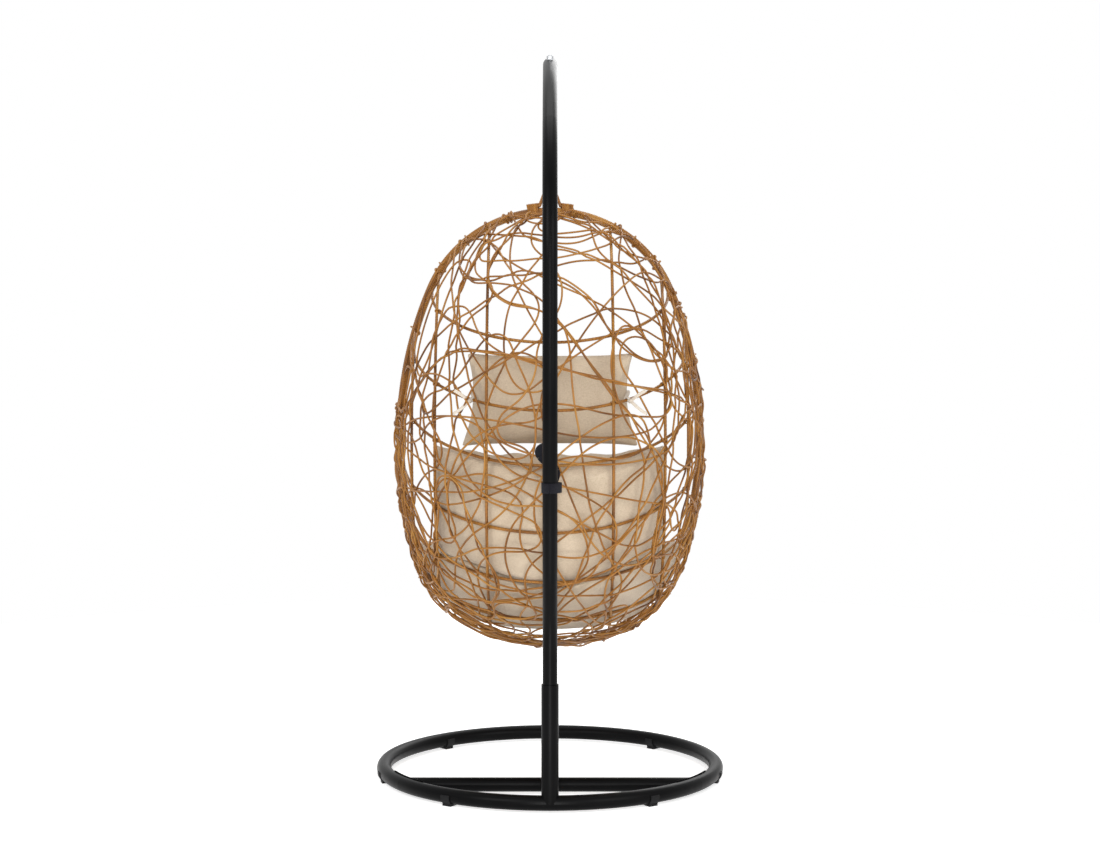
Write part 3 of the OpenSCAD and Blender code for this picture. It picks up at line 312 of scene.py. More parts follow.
def on_shell(t, h, out=0.0):
    """Point on the basket's shell at angle t and height h, out beyond it, and the outward way."""
    t, h = np.broadcast_arrays(np.asarray(t, float), np.asarray(h, float))
    e = 0.0008
    here, more = np.clip(h - e, 0, basket_h), np.clip(h + e, 0, basket_h)
    slope_x = (half_width(more) - half_width(here)) / (more - here)
    slope_d = (depth_at(more) - depth_at(here)) / (more - here)
    width, depth = np.maximum(half_width(h), 1e-6), np.maximum(depth_at(h), 1e-6)
    across = np.stack((-width * np.sin(t), -depth * np.cos(t), 0 * t), -1)
    along = np.stack((slope_x * np.cos(t), -slope_d * np.sin(t), 1 + 0 * t), -1)
    way = unit(np.cross(along, across))
    spot = np.stack((width * np.cos(t), -depth * np.sin(t), h), -1)
    return spot + np.asarray(out)[..., None] * way, way


def in_world(p):
    """From the basket's own upright frame to the chair's."""
    p = np.asarray(p, float)
    c, s = math.cos(basket_lean), math.sin(basket_lean)
    return np.stack((p[..., 0], basket_foot[1] + p[..., 1] * c - p[..., 2] * s,
                     basket_foot[2] + p[..., 1] * s + p[..., 2] * c), -1)


def evenly(points, step, closed=False):
    """The same line with points a step apart."""
    points = np.asarray(points, float)
    if closed:
        points = np.vstack((points, points[:1]))
    gaps = np.linalg.norm(np.diff(points, axis=0), axis=1)
    at = np.concatenate(([0], np.cumsum(gaps)))
    count = max(3, int(round(at[-1] / step)))
    want = np.linspace(0, at[-1], count + 1)[: -1 if closed else None]
    return np.stack([np.interp(want, at, points[:, k]) for k in range(3)], 1)


def ways_along(points, closed):
    if closed:
        return unit(np.roll(points, -1, 0) - np.roll(points, 1, 0))
    return unit(np.gradient(points, axis=0))


def carried_frame(points, closed):
    """Tangent, side and up at each point, turned as little as possible from one to the next."""
    tangent = ways_along(points, closed)
    up = np.zeros_like(points)
    guess = np.array((0.3, 0.2, 1.0))
    for k, way in enumerate(tangent):
        guess = guess - way * guess.dot(way)
        guess = guess / np.linalg.norm(guess)
        up[k] = guess
    return tangent, np.cross(up, tangent), up


def charted(piece, marks):
    """Gives a piece its map of turn and length."""
    chart = piece.data.uv_layers.new(name="strand")
    chart.uv.foreach_set("vector", np.asarray(marks, np.float32).ravel())
    return piece


def tubes(name, paths, radius, sides, material, closed=False):
    """Round strands along lines of points, as one mesh with a map of turn and length.

    radius is a number, or a function of angle and length that gives it all over."""
    chart_shift = 7.31  # so that no two strands show the same stretch of grain
    corners, faces, marks = [], [], []
    base = 0
    for index, points in enumerate(paths):
        points = np.asarray(points, float)
        n = len(points)
        tangent, side, up = carried_frame(points, closed)
        gaps = np.linalg.norm(np.diff(points, axis=0, append=points[:1]), axis=1)
        length = np.concatenate(([0], np.cumsum(gaps)))[:n]
        angle = np.arange(sides) * 2 * math.pi / sides
        r = radius(angle[None], length[:, None]) if callable(radius) else radius
        r = np.broadcast_to(r, (n, sides))[..., None]
        ring = (points[:, None] + r * (np.cos(angle)[None, :, None] * side[:, None]
                                       + np.sin(angle)[None, :, None] * up[:, None]))
        corners.append(ring.reshape(-1, 3))
        last = n if closed else n - 1
        i, k = np.meshgrid(np.arange(last), np.arange(sides), indexing="ij")
        a, b = base + i * sides + k, base + i * sides + (k + 1) % sides
        c, d = base + (i + 1) % n * sides + (k + 1) % sides, base + (i + 1) % n * sides + k
        faces.append(np.stack((a, b, c, d), -1).reshape(-1, 4))
        shift = chart_shift * index
        v0 = length[i] + shift
        v1 = np.where(i + 1 < n, length[np.minimum(i + 1, n - 1)], length[-1] + gaps[-1]) + shift
        u0, u1 = k / sides, (k + 1) / sides
        marks.append(np.stack((u0, v0, u1, v0, u1, v1, u0, v1), -1).reshape(-1, 2))
        base += n * sides
    faces = [tuple(f) for f in np.concatenate(faces)[:, ::-1]]
    marks = np.concatenate(marks).reshape(-1, 4, 2)[:, ::-1].reshape(-1, 2)
    if not closed:
        first = 0
        for points in paths:
            n = len(points)
            faces.append(tuple(range(first, first + sides)))
            faces.append(tuple(range(first + n * sides - 1, first + (n - 1) * sides - 1, -1)))
            marks = np.vstack((marks, np.zeros((2 * sides, 2))))
            first += n * sides
    return charted(add_mesh(name, np.concatenate(corners), faces, material), marks)


# Colour and grain of extruded resin wicker: tones drift along it, with fine lengthwise lines
resin_grain, tree_in, tree_out = new_group(
    "resin_grain",
    [("Vector", "Vector", None), ("Dark", "Color", (0.095, 0.031, 0.0036, 1)),
     ("Middle", "Color", (0.302, 0.119, 0.0138, 1)), ("Light", "Color", (0.41, 0.199, 0.037, 1))],
    [("Colour", "Color"), ("Lines", "Float")])
parts = add_node(resin_grain, "SeparateXYZ")
resin_grain.links.new(tree_in.outputs["Vector"], parts.inputs[0])


def stretched(tree, parts, round_scale, along_scale, detail):
    """Noise on the strand's map, with its own scale round and along the strand."""
    spot = add_node(tree, "CombineXYZ")
    tree.links.new(maths(tree, "MULTIPLY", parts.outputs[0], round_scale), spot.inputs[0])
    tree.links.new(maths(tree, "MULTIPLY", parts.outputs[1], along_scale), spot.inputs[1])
    texture = add_node(tree, "TexNoise", inputs={"Scale": 1.0, "Detail": detail})
    tree.links.new(spot.outputs[0], texture.inputs["Vector"])
    return texture.outputs[0]


drift = stretched(resin_grain, parts, 0.6, 5.0, 2.0)
lines = stretched(resin_grain, parts, 11.0, 16.0, 3.0)
tone = maths(resin_grain, "ADD", maths(resin_grain, "MULTIPLY", drift, 0.62),
             maths(resin_grain, "MULTIPLY", lines, 0.38))
lower = add_node(resin_grain, "MapRange", inputs={"From Min": 0.36, "From Max": 0.50})
upper = add_node(resin_grain, "MapRange", inputs={"From Min": 0.50, "From Max": 0.64})
for step in (lower, upper):
    resin_grain.links.new(tone, step.inputs["Value"])
body = mix_colours(resin_grain, lower.outputs[0], tree_in.outputs["Dark"], tree_in.outputs["Middle"])
whole = mix_colours(resin_grain, upper.outputs[0], body, tree_in.outputs["Light"])
resin_grain.links.new(whole, tree_out.inputs["Colour"])
resin_grain.links.new(lines, tree_out.inputs["Lines"])


def wicker(name, pitch=0.0, groove_shade=0.0):
    """Resin wicker. With a pitch, the strand is wound round a core, with painted shade darkening the groove
    between turns.
    """
    material, tree, shader = new_material(name)
    chart = add_node(tree, "UVMap", {"uv_map": "strand"}).outputs[0]
    grain = place_group(tree, resin_grain, chart)
    colour, height = grain.outputs["Colour"], grain.outputs["Lines"]
    if pitch:
        parts = add_node(tree, "SeparateXYZ")
        tree.links.new(chart, parts.inputs[0])
        turn = maths(tree, "SUBTRACT", maths(tree, "DIVIDE", parts.outputs[1], pitch), parts.outputs[0])
        swell = maths(tree, "ABSOLUTE", maths(tree, "SINE", maths(tree, "MULTIPLY", turn, math.pi)))
        crown = maths(tree, "POWER", swell, 0.45)
        # painted shade: the colour darkens to a near-black brown in the groove between turns
        shade = add_node(tree, "MapRange", inputs={"From Min": 0.0, "From Max": 0.75,
                                                   "To Min": groove_shade, "To Max": 1.0})
        tree.links.new(crown, shade.inputs["Value"])
        colour = mix_colours(tree, shade.outputs[0], (0.05, 0.018, 0.004), colour)
        height = maths(tree, "MULTIPLY_ADD", height, 0.25, crown)
    tree.links.new(colour, shader.inputs["Base Color"])
    add_relief(tree, shader, height, 0.8, 0.0006 if pitch else 0.0004)
    rough = maths(tree, "MULTIPLY_ADD", grain.outputs["Lines"], 0.3, 0.3)
    tree.links.new(rough, shader.inputs["Roughness"])
    shader.inputs["Specular IOR Level"].default_value = 0.35
    return material


frame_r, thin_r = 0.011, 0.0056
wrap_pitch = 0.0061


def tube_r(h):
    """Radius of the wound frame at height h. The winding is a single thin layer at its foot."""
    return frame_r - (frame_r - thin_r) * np.clip((0.30 - h) / 0.16, 0, 1)


sweep = np.linspace(0, math.pi, 1600)
side_heights = basket_h / 2 * (1 - np.cos(sweep))
right_side = np.stack((half_width(side_heights), 0 * sweep, side_heights), 1)
left_side = right_side[-2:0:-1] * (-1, 1, 1)
outline = evenly(np.vstack((right_side, left_side)), 0.00152, closed=True)
outline_len = np.linalg.norm(np.diff(outline, axis=0, append=outline[:1]), axis=1).sum()
frame_pitch = outline_len / round(outline_len / wrap_pitch)
outline_r = tube_r(outline[:, 2])[:, None]


def wound_frame(angle, length):
    turn = length / frame_pitch - angle / (2 * math.pi)
    crown = np.abs(np.sin(math.pi * turn)) ** 0.5
    return outline_r - 0.0009 + 0.0011 * crown


# the grooves between the winding's turns are darkened with painted shade
frame_wicker = wicker("frame_wicker", frame_pitch, 0.35)
wound_tube = tubes("face_frame_winding", [in_world(outline)], wound_frame, 24, frame_wicker, closed=True)
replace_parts(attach(wound_tube, "basket"), "face_frame")

# ---------------------------------------------------------------------------------------
# Hanger
# A bent rod that the lower snap hook carries. Its feet lie along the top of the face
# frame, each lashed down with a thick binding of wicker. The rod is wound as well.

hanger_y, hanger_eye = 0.0865662, 1.61146
hanger_d, hanger_bow, foot_r = 0.009, 0.012, 0.3701
rod_pitch = 0.0105


def wound_rod(core):
    """Section of a thin rod with a steeply wound strand."""
    def section(angle, length):
        turn = length / rod_pitch - angle / (2 * math.pi)
        return core - 0.0004 + 0.0006 * np.abs(np.sin(math.pi * turn)) ** 0.6
    return section


def hanger_foot(turn):
    a = math.radians(turn)
    return in_world((foot_r * math.sin(a), 0, top_centre + foot_r * math.cos(a)))


bow = [(hanger_bow * math.cos(a), hanger_y, hanger_eye - hanger_bow + hanger_bow * math.sin(a))
       for a in np.linspace(0, math.pi, 17)]
right_leg = np.array([hanger_foot(9.6), hanger_foot(4.4)])
hanger_line = evenly(np.vstack((right_leg, bow, right_leg[::-1] * (-1, 1, 1))), 0.0026)
# the grooves between the rod winding's turns are darkened with painted shade
rod_wicker = wicker("rod_wicker", rod_pitch, 0.45)
hanger_rod = tubes("hanger_rod", [hanger_line], wound_rod(hanger_d / 2), 12, rod_wicker)
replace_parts(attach(hanger_rod, "basket"), "basket_hanger")

binding_strand = 0.0021
binding_lines = []
for side in (-1, 1):
    turns = np.linspace(0, 8 * 2 * math.pi, 8 * 26)
    rolled = []
    for number, a in enumerate(turns):
        way = (math.cos(a), math.sin(a))
        frame_reach, rod_reach = frame_r + 0.0004, hanger_d / 2 + 0.0004
        rise = foot_r - top_arc
        on_rod = rise * way[0] + rod_reach > frame_reach
        centre, reach = (rise, rod_reach) if on_rod else (0, frame_reach)
        radial = top_arc + centre + (reach + binding_strand) * way[0]
        turn = math.radians(4.9 + 4.6 * number / len(turns))
        rolled.append((side * radial * math.sin(turn), (reach + binding_strand) * way[1],
                       top_centre + radial * math.cos(turn)))
    binding_lines.append(in_world(evenly(rolled, 0.0035)))
binding_wicker = wicker("binding_wicker")
bindings = tubes("hanger_bindings", binding_lines, binding_strand, 8, binding_wicker)
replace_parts(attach(bindings, "basket"), "hanger_wraps")

# ---------------------------------------------------------------------------------------
# Hoops and ribs
# Thin steel rods, each wound with a wicker strand. Hoops run level from one side of the
# frame to the other, ribs run over the back, and cross lashings bind them where they meet.

rod_r = 0.004
hoop_in = 0.0089
hoop_heights = (0.239, 0.415, 0.575, 0.753, 0.886, 1.039)
rib_places = (0, 0.162, 0.300, 0.368)
rod_lines = []
for h in hoop_heights:
    open_angle = math.asin((frame_r - 0.003) / (one(depth_at, h) - hoop_in))
    turns = np.linspace(open_angle, math.pi - open_angle, 240)
    rod_lines.append(in_world(evenly(on_shell(turns, h, -hoop_in)[0], 0.0036)))
hoop_rods = tubes("hoop_rods", rod_lines, wound_rod(rod_r), 8, rod_wicker)
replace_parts(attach(hoop_rods, "basket"), "hoops")

rib_lines = []
for x in rib_places:
    heights = basket_h / 2 * (1 - np.cos(np.linspace(0, math.pi, 900)))
    heights = heights[half_width(heights) > x + 1e-4]
    angle = np.arccos(x / half_width(heights))
    spots = on_shell(angle, heights)[0]
    spots = spots[-spots[:, 1] > tube_r(spots[:, 2]) - 0.003]
    for side in (1, -1) if x else (1,):
        rib_lines.append(in_world(evenly(spots * (side, 1, 1), 0.0036)))
rib_rods = tubes("rib_rods", rib_lines, wound_rod(rod_r), 8, rod_wicker)
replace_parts(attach(rib_rods, "basket"), "ribs")

lash_r = 0.0012
lashings = []
for h in hoop_heights:
    for x in rib_places:
        if one(half_width, h) < x + 0.012:
            continue
        t = math.acos(x / one(half_width, h))
        for side in (1, -1) if x else (1,):
            spot, out = on_shell(t, h, -hoop_in / 2)
            ahead = unit(on_shell(t, h + 0.01)[0] - on_shell(t, h - 0.01)[0])
            level_way = unit(np.cross(out, ahead))
            for lean in (1, -1):
                slant = unit(level_way + lean * ahead)
                a = np.linspace(0, 2.06 * math.pi, 24)[:, None]
                ring = (spot + out * np.cos(a) * (hoop_in / 2 + rod_r + lash_r)
                        + slant * np.sin(a) * (rod_r * 1.35 + lash_r)
                        + np.cross(out, slant) * (a / math.pi - 1) * 0.0014)
                lashings.append(in_world(ring * (side, 1, 1)))
cross_lashings = tubes("cross_lashings", lashings, lash_r, 6, binding_wicker)
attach(cross_lashings, "basket")

# ---------------------------------------------------------------------------------------
# Weave
# Round resin strands thrown over the ribs in free curves by hand, over and under each other.
# Each starts at the face frame and turns round it wherever they meet. Some have a second
# strand beside them for a while, which starts and ends free on the shell.

strand_r = 0.0026
walk_step = 0.012
weave_total = 112.0
dice = np.random.default_rng(41)
cell = 0.06
crowding = {}
turn_back = 0.86
nearly_straight, gentle_bends = 0.46, 0.88
follow_low, follow_high = 0.18, 1.08
tries, crowded_foot, foot_weight = 10, 0.13, 4.5
company, least_run = 0.16, 22
lift_rounds, most_lift = 70, 0.011
forward, backward = np.array((0, 1.0, 0)), np.array((0, -1.0, 0))


def cell_of(p):
    return (int(p[0] // cell), int(p[1] // cell), int(p[2] // cell))


def shell_place(p):
    """Angle and height of the place on the shell under a point."""
    h = min(max(p[2], 0.004), basket_h - 0.004)
    return math.atan2(max(0.0, -p[1] / one(depth_at, h)),
                      p[0] / one(half_width, h)), h


def frame_way(h, side):
    """Place on the face frame at height h, and the ways along it and out from it."""
    e = 0.001
    low, high = max(h - e, 0.0005), min(h + e, basket_h - 0.0005)
    x0, x1 = one(half_width, low), one(half_width, high)
    ahead = np.array((side * (x1 - x0), 0, high - low))
    ahead /= np.linalg.norm(ahead)
    out = np.array((ahead[2], 0, -ahead[0])) * side
    return np.array((side * one(half_width, h), 0, h)), ahead, out


def walk(start, length, rng):
    """One strand: points on the shell, outward ways, and True where the point lies on the frame."""
    h = start[0]
    side = start[1]
    centre, ahead, out = frame_way(h, side)
    spots, ways, fixed = [], [], []
    gone = 0.0
    curve = wanted = 0.0
    left = 0.0
    bend = rng.choice((-1, 1))
    # it leaves the frame at a chance angle
    t = 0.06 if side > 0 else math.pi - 0.06
    p, n = on_shell(t, h)
    inward = backward + ahead * rng.uniform(-1.2, 1.2) - out * 0.2
    d = inward - n * inward.dot(n)
    d /= np.linalg.norm(d)
    while True:
        if left <= 0:
            # most bends turn back the other way, so a strand wanders and seldom closes a loop
            kind = rng.random()
            bend = -bend if rng.random() < turn_back else bend
            if kind < nearly_straight:
                wanted, left = rng.normal(0, 1.4), rng.uniform(0.09, 0.30)
            elif kind < gentle_bends:
                wanted = bend * rng.uniform(3.2, 8.0)
                left = math.radians(rng.uniform(30, 95)) / abs(wanted)
            else:
                wanted = bend * rng.uniform(11, 24)
                left = math.radians(rng.uniform(70, 165)) / abs(wanted)
        curve += (wanted - curve) * 0.45
        left -= walk_step
        turn = curve * walk_step
        d = d * math.cos(turn) + np.cross(n, d) * math.sin(turn)
        new = p + d * walk_step
        t, h = shell_place(new)
        new, n_new = on_shell(t, h)
        move = new - p
        size = np.linalg.norm(move)
        if size < 0.004:
            d = -d
            left = 0
            gone += walk_step
            if gone > length + 3:
                return spots, ways, fixed
            continue
        d = move / size
        d = d - n_new * d.dot(n_new)
        d /= np.linalg.norm(d)
        p, n = new, n_new
        gone += size
        spots.append(p)
        ways.append(n)
        fixed.append(False)
        if -p[1] < 0.019 and d[1] > 0:
            side = 1 if p[0] > 0 else -1
            centre, ahead, out = frame_way(h, side)
            drift = d.dot(ahead)
            done = gone > length
            follow = follow_low < h < follow_high and rng.random() < 0.20 + 0.38 * abs(drift) and not done
            phase = math.radians(rng.uniform(-75, -50))
            reach = float(tube_r(h)) + strand_r + 0.0004
            if follow:
                run = rng.uniform(0.10, 0.42) * (1 if drift > 0 else -1)
                count = int(abs(run) / walk_step)
                keep = math.radians(rng.uniform(-118, -48))
                for k in range(count):
                    h_k = h + run * (k + 1) / count * abs(ahead[2])
                    if not 0.16 < h_k < basket_h - 0.12:
                        break
                    c_k, ahead, out = frame_way(h_k, side)
                    a = phase + (keep - phase) * min(1, k / 4)
                    lift = reach + 0.0009 * math.sin(k * 0.9 + run * 40)
                    spots.append(c_k + lift * (out * math.cos(a) + forward * math.sin(a)))
                    ways.append(out)
                    fixed.append(True)
                    gone += walk_step
                    centre, h = c_k, h_k
                phase = keep
            # one turn round the tube, from the back over the outside, the front and the inside,
            # and some of the turns are left loose and stand out as a small ear
            shift = (1 if drift > 0 else -1) * rng.uniform(0.010, 0.024)
            turns = 0.55 if done else 1
            most, rarity = (0.012, 2) if h < 0.25 else (0.004, 6)
            loose = most * rng.uniform(0, 1) ** rarity
            count = 14
            for k in range(1, int(count * turns) + 1):
                a = phase + 2 * math.pi * k / count
                c = centre + ahead * shift * k / count
                ear = reach + loose * max(0.0, math.cos(a - 0.25)) ** 2
                spots.append(c + ear * (out * math.cos(a) + forward * math.sin(a)))
                ways.append(out * math.cos(a) + forward * math.sin(a))
                fixed.append(True)
            gone += 2 * math.pi * reach
            if done:
                return spots, ways, fixed
            h = min(max(h + shift * ahead[2], 0.01), basket_h - 0.01)
            x = side * one(half_width, h)
            back = 0.021
            t = math.asin(min(0.9, back / one(depth_at, h)))
            t = t if side > 0 else math.pi - t
            p, n = on_shell(t, h)
            inward = backward * rng.uniform(0.5, 1.3) + ahead * (drift + rng.uniform(-0.5, 0.5))
            d = inward - n * inward.dot(n)
            d /= np.linalg.norm(d)
            curve = wanted = 0.0
            left = rng.uniform(0.04, 0.15)
            spots.append(p)
            ways.append(n)
            fixed.append(False)


strands = []
made = 0.0
seed_number = 0
while made < weave_total:
    choices = []
    for attempt in range(tries):
        seed_number += 1
        rng = np.random.default_rng(1000 + seed_number)
        start = (rng.uniform(0.05, basket_h - 0.05), rng.choice((-1, 1)))
        spots, ways, fixed = walk(start, rng.uniform(2.4, 5.0), rng)
        crowd = np.mean([(crowding.get(cell_of(p), 0)
                          + (foot_weight if p[2] < crowded_foot else 0)) ** 1.6
                         for p, f in zip(spots, fixed) if not f])
        choices.append((crowd, spots, ways, fixed))
    _, spots, ways, fixed = min(choices, key=lambda c: c[0])
    strands.append((np.array(spots), np.array(ways), np.array(fixed)))
    for p, f in zip(spots, fixed):
        if not f:
            crowding[cell_of(p)] = crowding.get(cell_of(p), 0) + 1
    made += np.linalg.norm(np.diff(spots, axis=0), axis=1).sum()
    # now and then a second strand keeps the first one company for a while
    if dice.random() < company:
        free = np.flatnonzero(~np.array(fixed))
        runs = np.split(free, np.flatnonzero(np.diff(free) > 1) + 1)
        runs = [r for r in runs if len(r) > least_run]
        if runs:
            run = runs[dice.integers(len(runs))]
            p, n = np.array(spots)[run], np.array(ways)[run]
            beside = np.cross(n, unit(np.gradient(p, axis=0)))
            swing = np.linspace(0, dice.uniform(4, 11), len(run)) + dice.uniform(0, 6)
            wave = 0.0068 + 0.0035 * np.sin(swing)
            q = p + beside * wave[:, None] * dice.choice((-1, 1))
            placed = [on_shell(*shell_place(a)) for a in q]
            strands.append((np.array([a for a, b in placed]), np.array([b for a, b in placed]),
                            np.zeros(len(run), bool)))
            made += len(run) * walk_step

# heights over the ribs: where two strands cross, one passes over the other
low_lift, layer = rod_r + strand_r + 0.0003, 2 * strand_r + 0.0002
first_of = np.concatenate(([0], np.cumsum([len(s[0]) for s in strands])))
all_spots = np.concatenate([s[0] for s in strands])
all_ways = np.concatenate([s[1] for s in strands])
all_fixed = np.concatenate([s[2] for s in strands])
follows = np.ones(len(all_spots), bool)
follows[first_of[1:] - 1] = False
starts = np.flatnonzero(follows & ~all_fixed & ~np.roll(all_fixed, -1))
middles = (all_spots[starts] + all_spots[starts + 1]) / 2
finder = kdtree.KDTree(len(starts))
for k, m in enumerate(middles):
    finder.insert(m, k)
finder.balance()
crossings = []
for k, m in enumerate(middles):
    i = starts[k]
    for spot, other, gap in finder.find_range(m, walk_step * 1.05):
        j = starts[other]
        if j <= i + 2:
            continue
        n = all_ways[i]
        e = unit(all_spots[i + 1] - all_spots[i])
        f = np.cross(n, e)
        a, b, c, d = all_spots[i], all_spots[i + 1], all_spots[j], all_spots[j + 1]
        length = (b - a).dot(e)
        yc, yd = (c - a).dot(f), (d - a).dot(f)
        if yc * yd > 0 or abs(yc - yd) < 1e-9:
            continue
        s = yc / (yc - yd)
        x = ((c - a) + s * (d - c)).dot(e) / length
        if 0 <= x <= 1:
            crossings.append((i, x, j, s))
pairs = np.array([(i, j) for i, x, j, s in crossings])
shares = np.array([(x, s) for i, x, j, s in crossings])
# a strand goes over and under by turns
seen = {}
over = np.zeros(len(crossings), bool)
for k in np.lexsort((shares[:, 0], pairs[:, 0])):
    i, j = pairs[k]
    strand = int(np.searchsorted(first_of, i, side="right"))
    seen[strand] = not seen.get(strand, False)
    over[k] = seen[strand]
lift = np.full(len(all_spots), low_lift + 0.0006)
for sweep_number in range(lift_rounds):
    i, j = pairs[:, 0], pairs[:, 1]
    a = lift[i] * (1 - shares[:, 0]) + lift[i + 1] * shares[:, 0]
    b = lift[j] * (1 - shares[:, 1]) + lift[j + 1] * shares[:, 1]
    lack = layer - np.where(over, a - b, b - a)
    push = np.clip(lack, 0, None) * 0.5
    for index, sign in ((i, np.where(over, 1, -1)), (j, np.where(over, -1, 1))):
        np.add.at(lift, index, push * sign * 0.5)
        np.add.at(lift, index + 1, push * sign * 0.5)
    smooth = (np.roll(lift, 1) + np.roll(lift, -1)) / 2
    inner = follows & np.roll(follows, 1)
    lift[inner] += 0.18 * (smooth - lift)[inner]
    lift = np.clip(lift, low_lift, low_lift + most_lift)
near_frame = np.convolve(all_fixed.astype(float), np.ones(3), "same") > 0
lift[near_frame] = low_lift + 0.001
lift[all_fixed] = 0
laid = all_spots + all_ways * lift[:, None]
weave_lines = []
for k in range(len(strands)):
    line = laid[first_of[k]:first_of[k + 1]]
    soft = line.copy()
    soft[1:-1] = line[1:-1] * 0.6 + (line[:-2] + line[2:]) * 0.2
    weave_lines.append(in_world(soft))
strand_wicker = wicker("strand_wicker")
weave = tubes("woven_strands", weave_lines, strand_r, 8, strand_wicker)
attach(weave, "basket")
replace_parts(weave, "weave_crown", "weave_upper", "weave_middle", "weave_lower", "weave_base")

# the foot of the basket: a loose second bundle runs behind the frame, held by small ties
foot_depth, foot_reach, foot_ties = 0.027, 0.085, 11
rise = 0.0115 + foot_reach * np.linspace(0, 1, 160) ** 2
foot_turn = np.arcsin(np.minimum(1, foot_depth / depth_at(rise)))
half = on_shell(foot_turn, rise, 0.002)[0]
bundle = evenly(np.vstack((half[::-1] * (-1, 1, 1), half[1:])), 0.012)
foot_lines = []
for k, (back, down) in enumerate(((0, 0), (0.0048, 0.0012), (0.0022, -0.0042))):
    wave = np.arange(len(bundle)) * 0.55 + 2.1 * k
    offset = np.stack((0 * wave, -back + 0.0016 * np.sin(wave), down + 0.0019 * np.cos(wave * 0.8)), 1)
    foot_lines.append(in_world(bundle + offset))
for place in np.linspace(0.07, 0.93, foot_ties) + dice.uniform(-0.03, 0.03, foot_ties):
    far = bundle[int(place * (len(bundle) - 1))]
    near = np.array((far[0], 0, float(np.interp(abs(far[0]), right_side[:400, 0], right_side[:400, 2]))))
    span = far - near
    length = np.linalg.norm(span)
    way, flat = span / length, unit(np.cross(span, (1.0, 0.3 * dice.normal(), 0)))
    a = np.linspace(0, 2.2 * math.pi, 22)[:, None]
    ring = ((near + far) / 2 + way * np.cos(a) * (length / 2 + thin_r + 0.003)
            + flat * np.sin(a) * (thin_r + strand_r + 0.0006) + np.array((1.0, 0, 0)) * a * 0.0012)
    foot_lines.append(in_world(ring))
foot_bundle = tubes("foot_bundle", foot_lines, strand_r * 0.86, 8, strand_wicker)
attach(foot_bundle, "basket")

# ---------------------------------------------------------------------------------------
# Back cushion
# A polyester-filled pad in oat-coloured outdoor canvas that leans in the bend of the
# basket. Its cover is sewn through twice across the front, and a seam runs round its edge.

cushion_in = hoop_in + rod_r + 0.0008

# Plain-woven cloth: threads both ways, whichever way the surface faces, and slubs in the yarn
woven_cloth, tree_in, tree_out = new_group(
    "woven_cloth",
    [("Vector", "Vector", None), ("Threads", "Float", 900.0)],
    [("Weave", "Float"), ("Slubs", "Float"), ("Bloom", "Float")])
scaled = add_node(woven_cloth, "VectorMath", {"operation": "SCALE"})
woven_cloth.links.new(tree_in.outputs["Vector"], scaled.inputs[0])
thread_turn = maths(woven_cloth, "MULTIPLY", tree_in.outputs["Threads"], math.pi)
woven_cloth.links.new(thread_turn, scaled.inputs["Scale"])
waves = add_node(woven_cloth, "VectorMath", {"operation": "SINE"})
woven_cloth.links.new(scaled.outputs[0], waves.inputs[0])
wave_parts = add_node(woven_cloth, "SeparateXYZ")
woven_cloth.links.new(waves.outputs[0], wave_parts.inputs[0])
facing = add_node(woven_cloth, "SeparateXYZ")
woven_cloth.links.new(add_node(woven_cloth, "NewGeometry").outputs["Normal"], facing.inputs[0])
total = None
for axis, (a, b) in enumerate(((1, 2), (0, 2), (0, 1))):
    pattern = maths(woven_cloth, "MULTIPLY", wave_parts.outputs[a], wave_parts.outputs[b])
    share = maths(woven_cloth, "POWER", maths(woven_cloth, "ABSOLUTE", facing.outputs[axis]), 2.0)
    part = maths(woven_cloth, "MULTIPLY", pattern, share)
    total = part if total is None else maths(woven_cloth, "ADD", total, part)
woven_cloth.links.new(total, tree_out.inputs["Weave"])
slub_sum = None
for squeeze in ((0.22, 0.22, 1.0), (1.0, 1.0, 0.22)):
    mapping = add_node(woven_cloth, "Mapping", inputs={"Scale": squeeze})
    woven_cloth.links.new(tree_in.outputs["Vector"], mapping.inputs[0])
    slub = add_node(woven_cloth, "TexNoise", inputs={"Scale": 640.0, "Detail": 2.0})
    woven_cloth.links.new(mapping.outputs[0], slub.inputs["Vector"])
    slub_sum = slub.outputs[0] if slub_sum is None else maths(woven_cloth, "ADD", slub_sum, slub.outputs[0])
woven_cloth.links.new(maths(woven_cloth, "MULTIPLY", slub_sum, 0.5), tree_out.inputs["Slubs"])
bloom = add_node(woven_cloth, "TexNoise", inputs={"Scale": 14.0, "Detail": 3.0})
woven_cloth.links.new(tree_in.outputs["Vector"], bloom.inputs["Vector"])
woven_cloth.links.new(bloom.outputs[0], tree_out.inputs["Bloom"])


def cloth(name, dark, light, threads, depth):
    """Woven fabric with a soft fuzz that catches light at its edges."""
    material, tree, shader = new_material(name)
    spot = add_node(tree, "TexCoord").outputs["Object"]
    weave_of = place_group(tree, woven_cloth, spot, Threads=threads)
    tone = maths(tree, "MULTIPLY_ADD", weave_of.outputs["Weave"], 0.22, weave_of.outputs["Slubs"])
    tone = maths(tree, "MULTIPLY_ADD", weave_of.outputs["Bloom"], 0.24, tone)
    spread = add_node(tree, "MapRange", inputs={"From Min": 0.46, "From Max": 0.78})
    tree.links.new(tone, spread.inputs["Value"])
    tree.links.new(mix_colours(tree, spread.outputs[0], dark, light), shader.inputs["Base Color"])
    height = maths(tree, "MULTIPLY_ADD", weave_of.outputs["Slubs"], 1.5, weave_of.outputs["Weave"])
    add_relief(tree, shader, height, 0.7, depth)
    shader.inputs["Roughness"].default_value = 0.92
    shader.inputs["Specular IOR Level"].default_value = 0.2
    shader.inputs["Sheen Weight"].default_value = 0.25
    return material


canvas = cloth("canvas", (0.475, 0.373, 0.262), (0.640, 0.532, 0.400), 620, 0.0004)


def swell(s, power):
    return np.sqrt(np.maximum(0, 1 - np.abs(s) ** power))


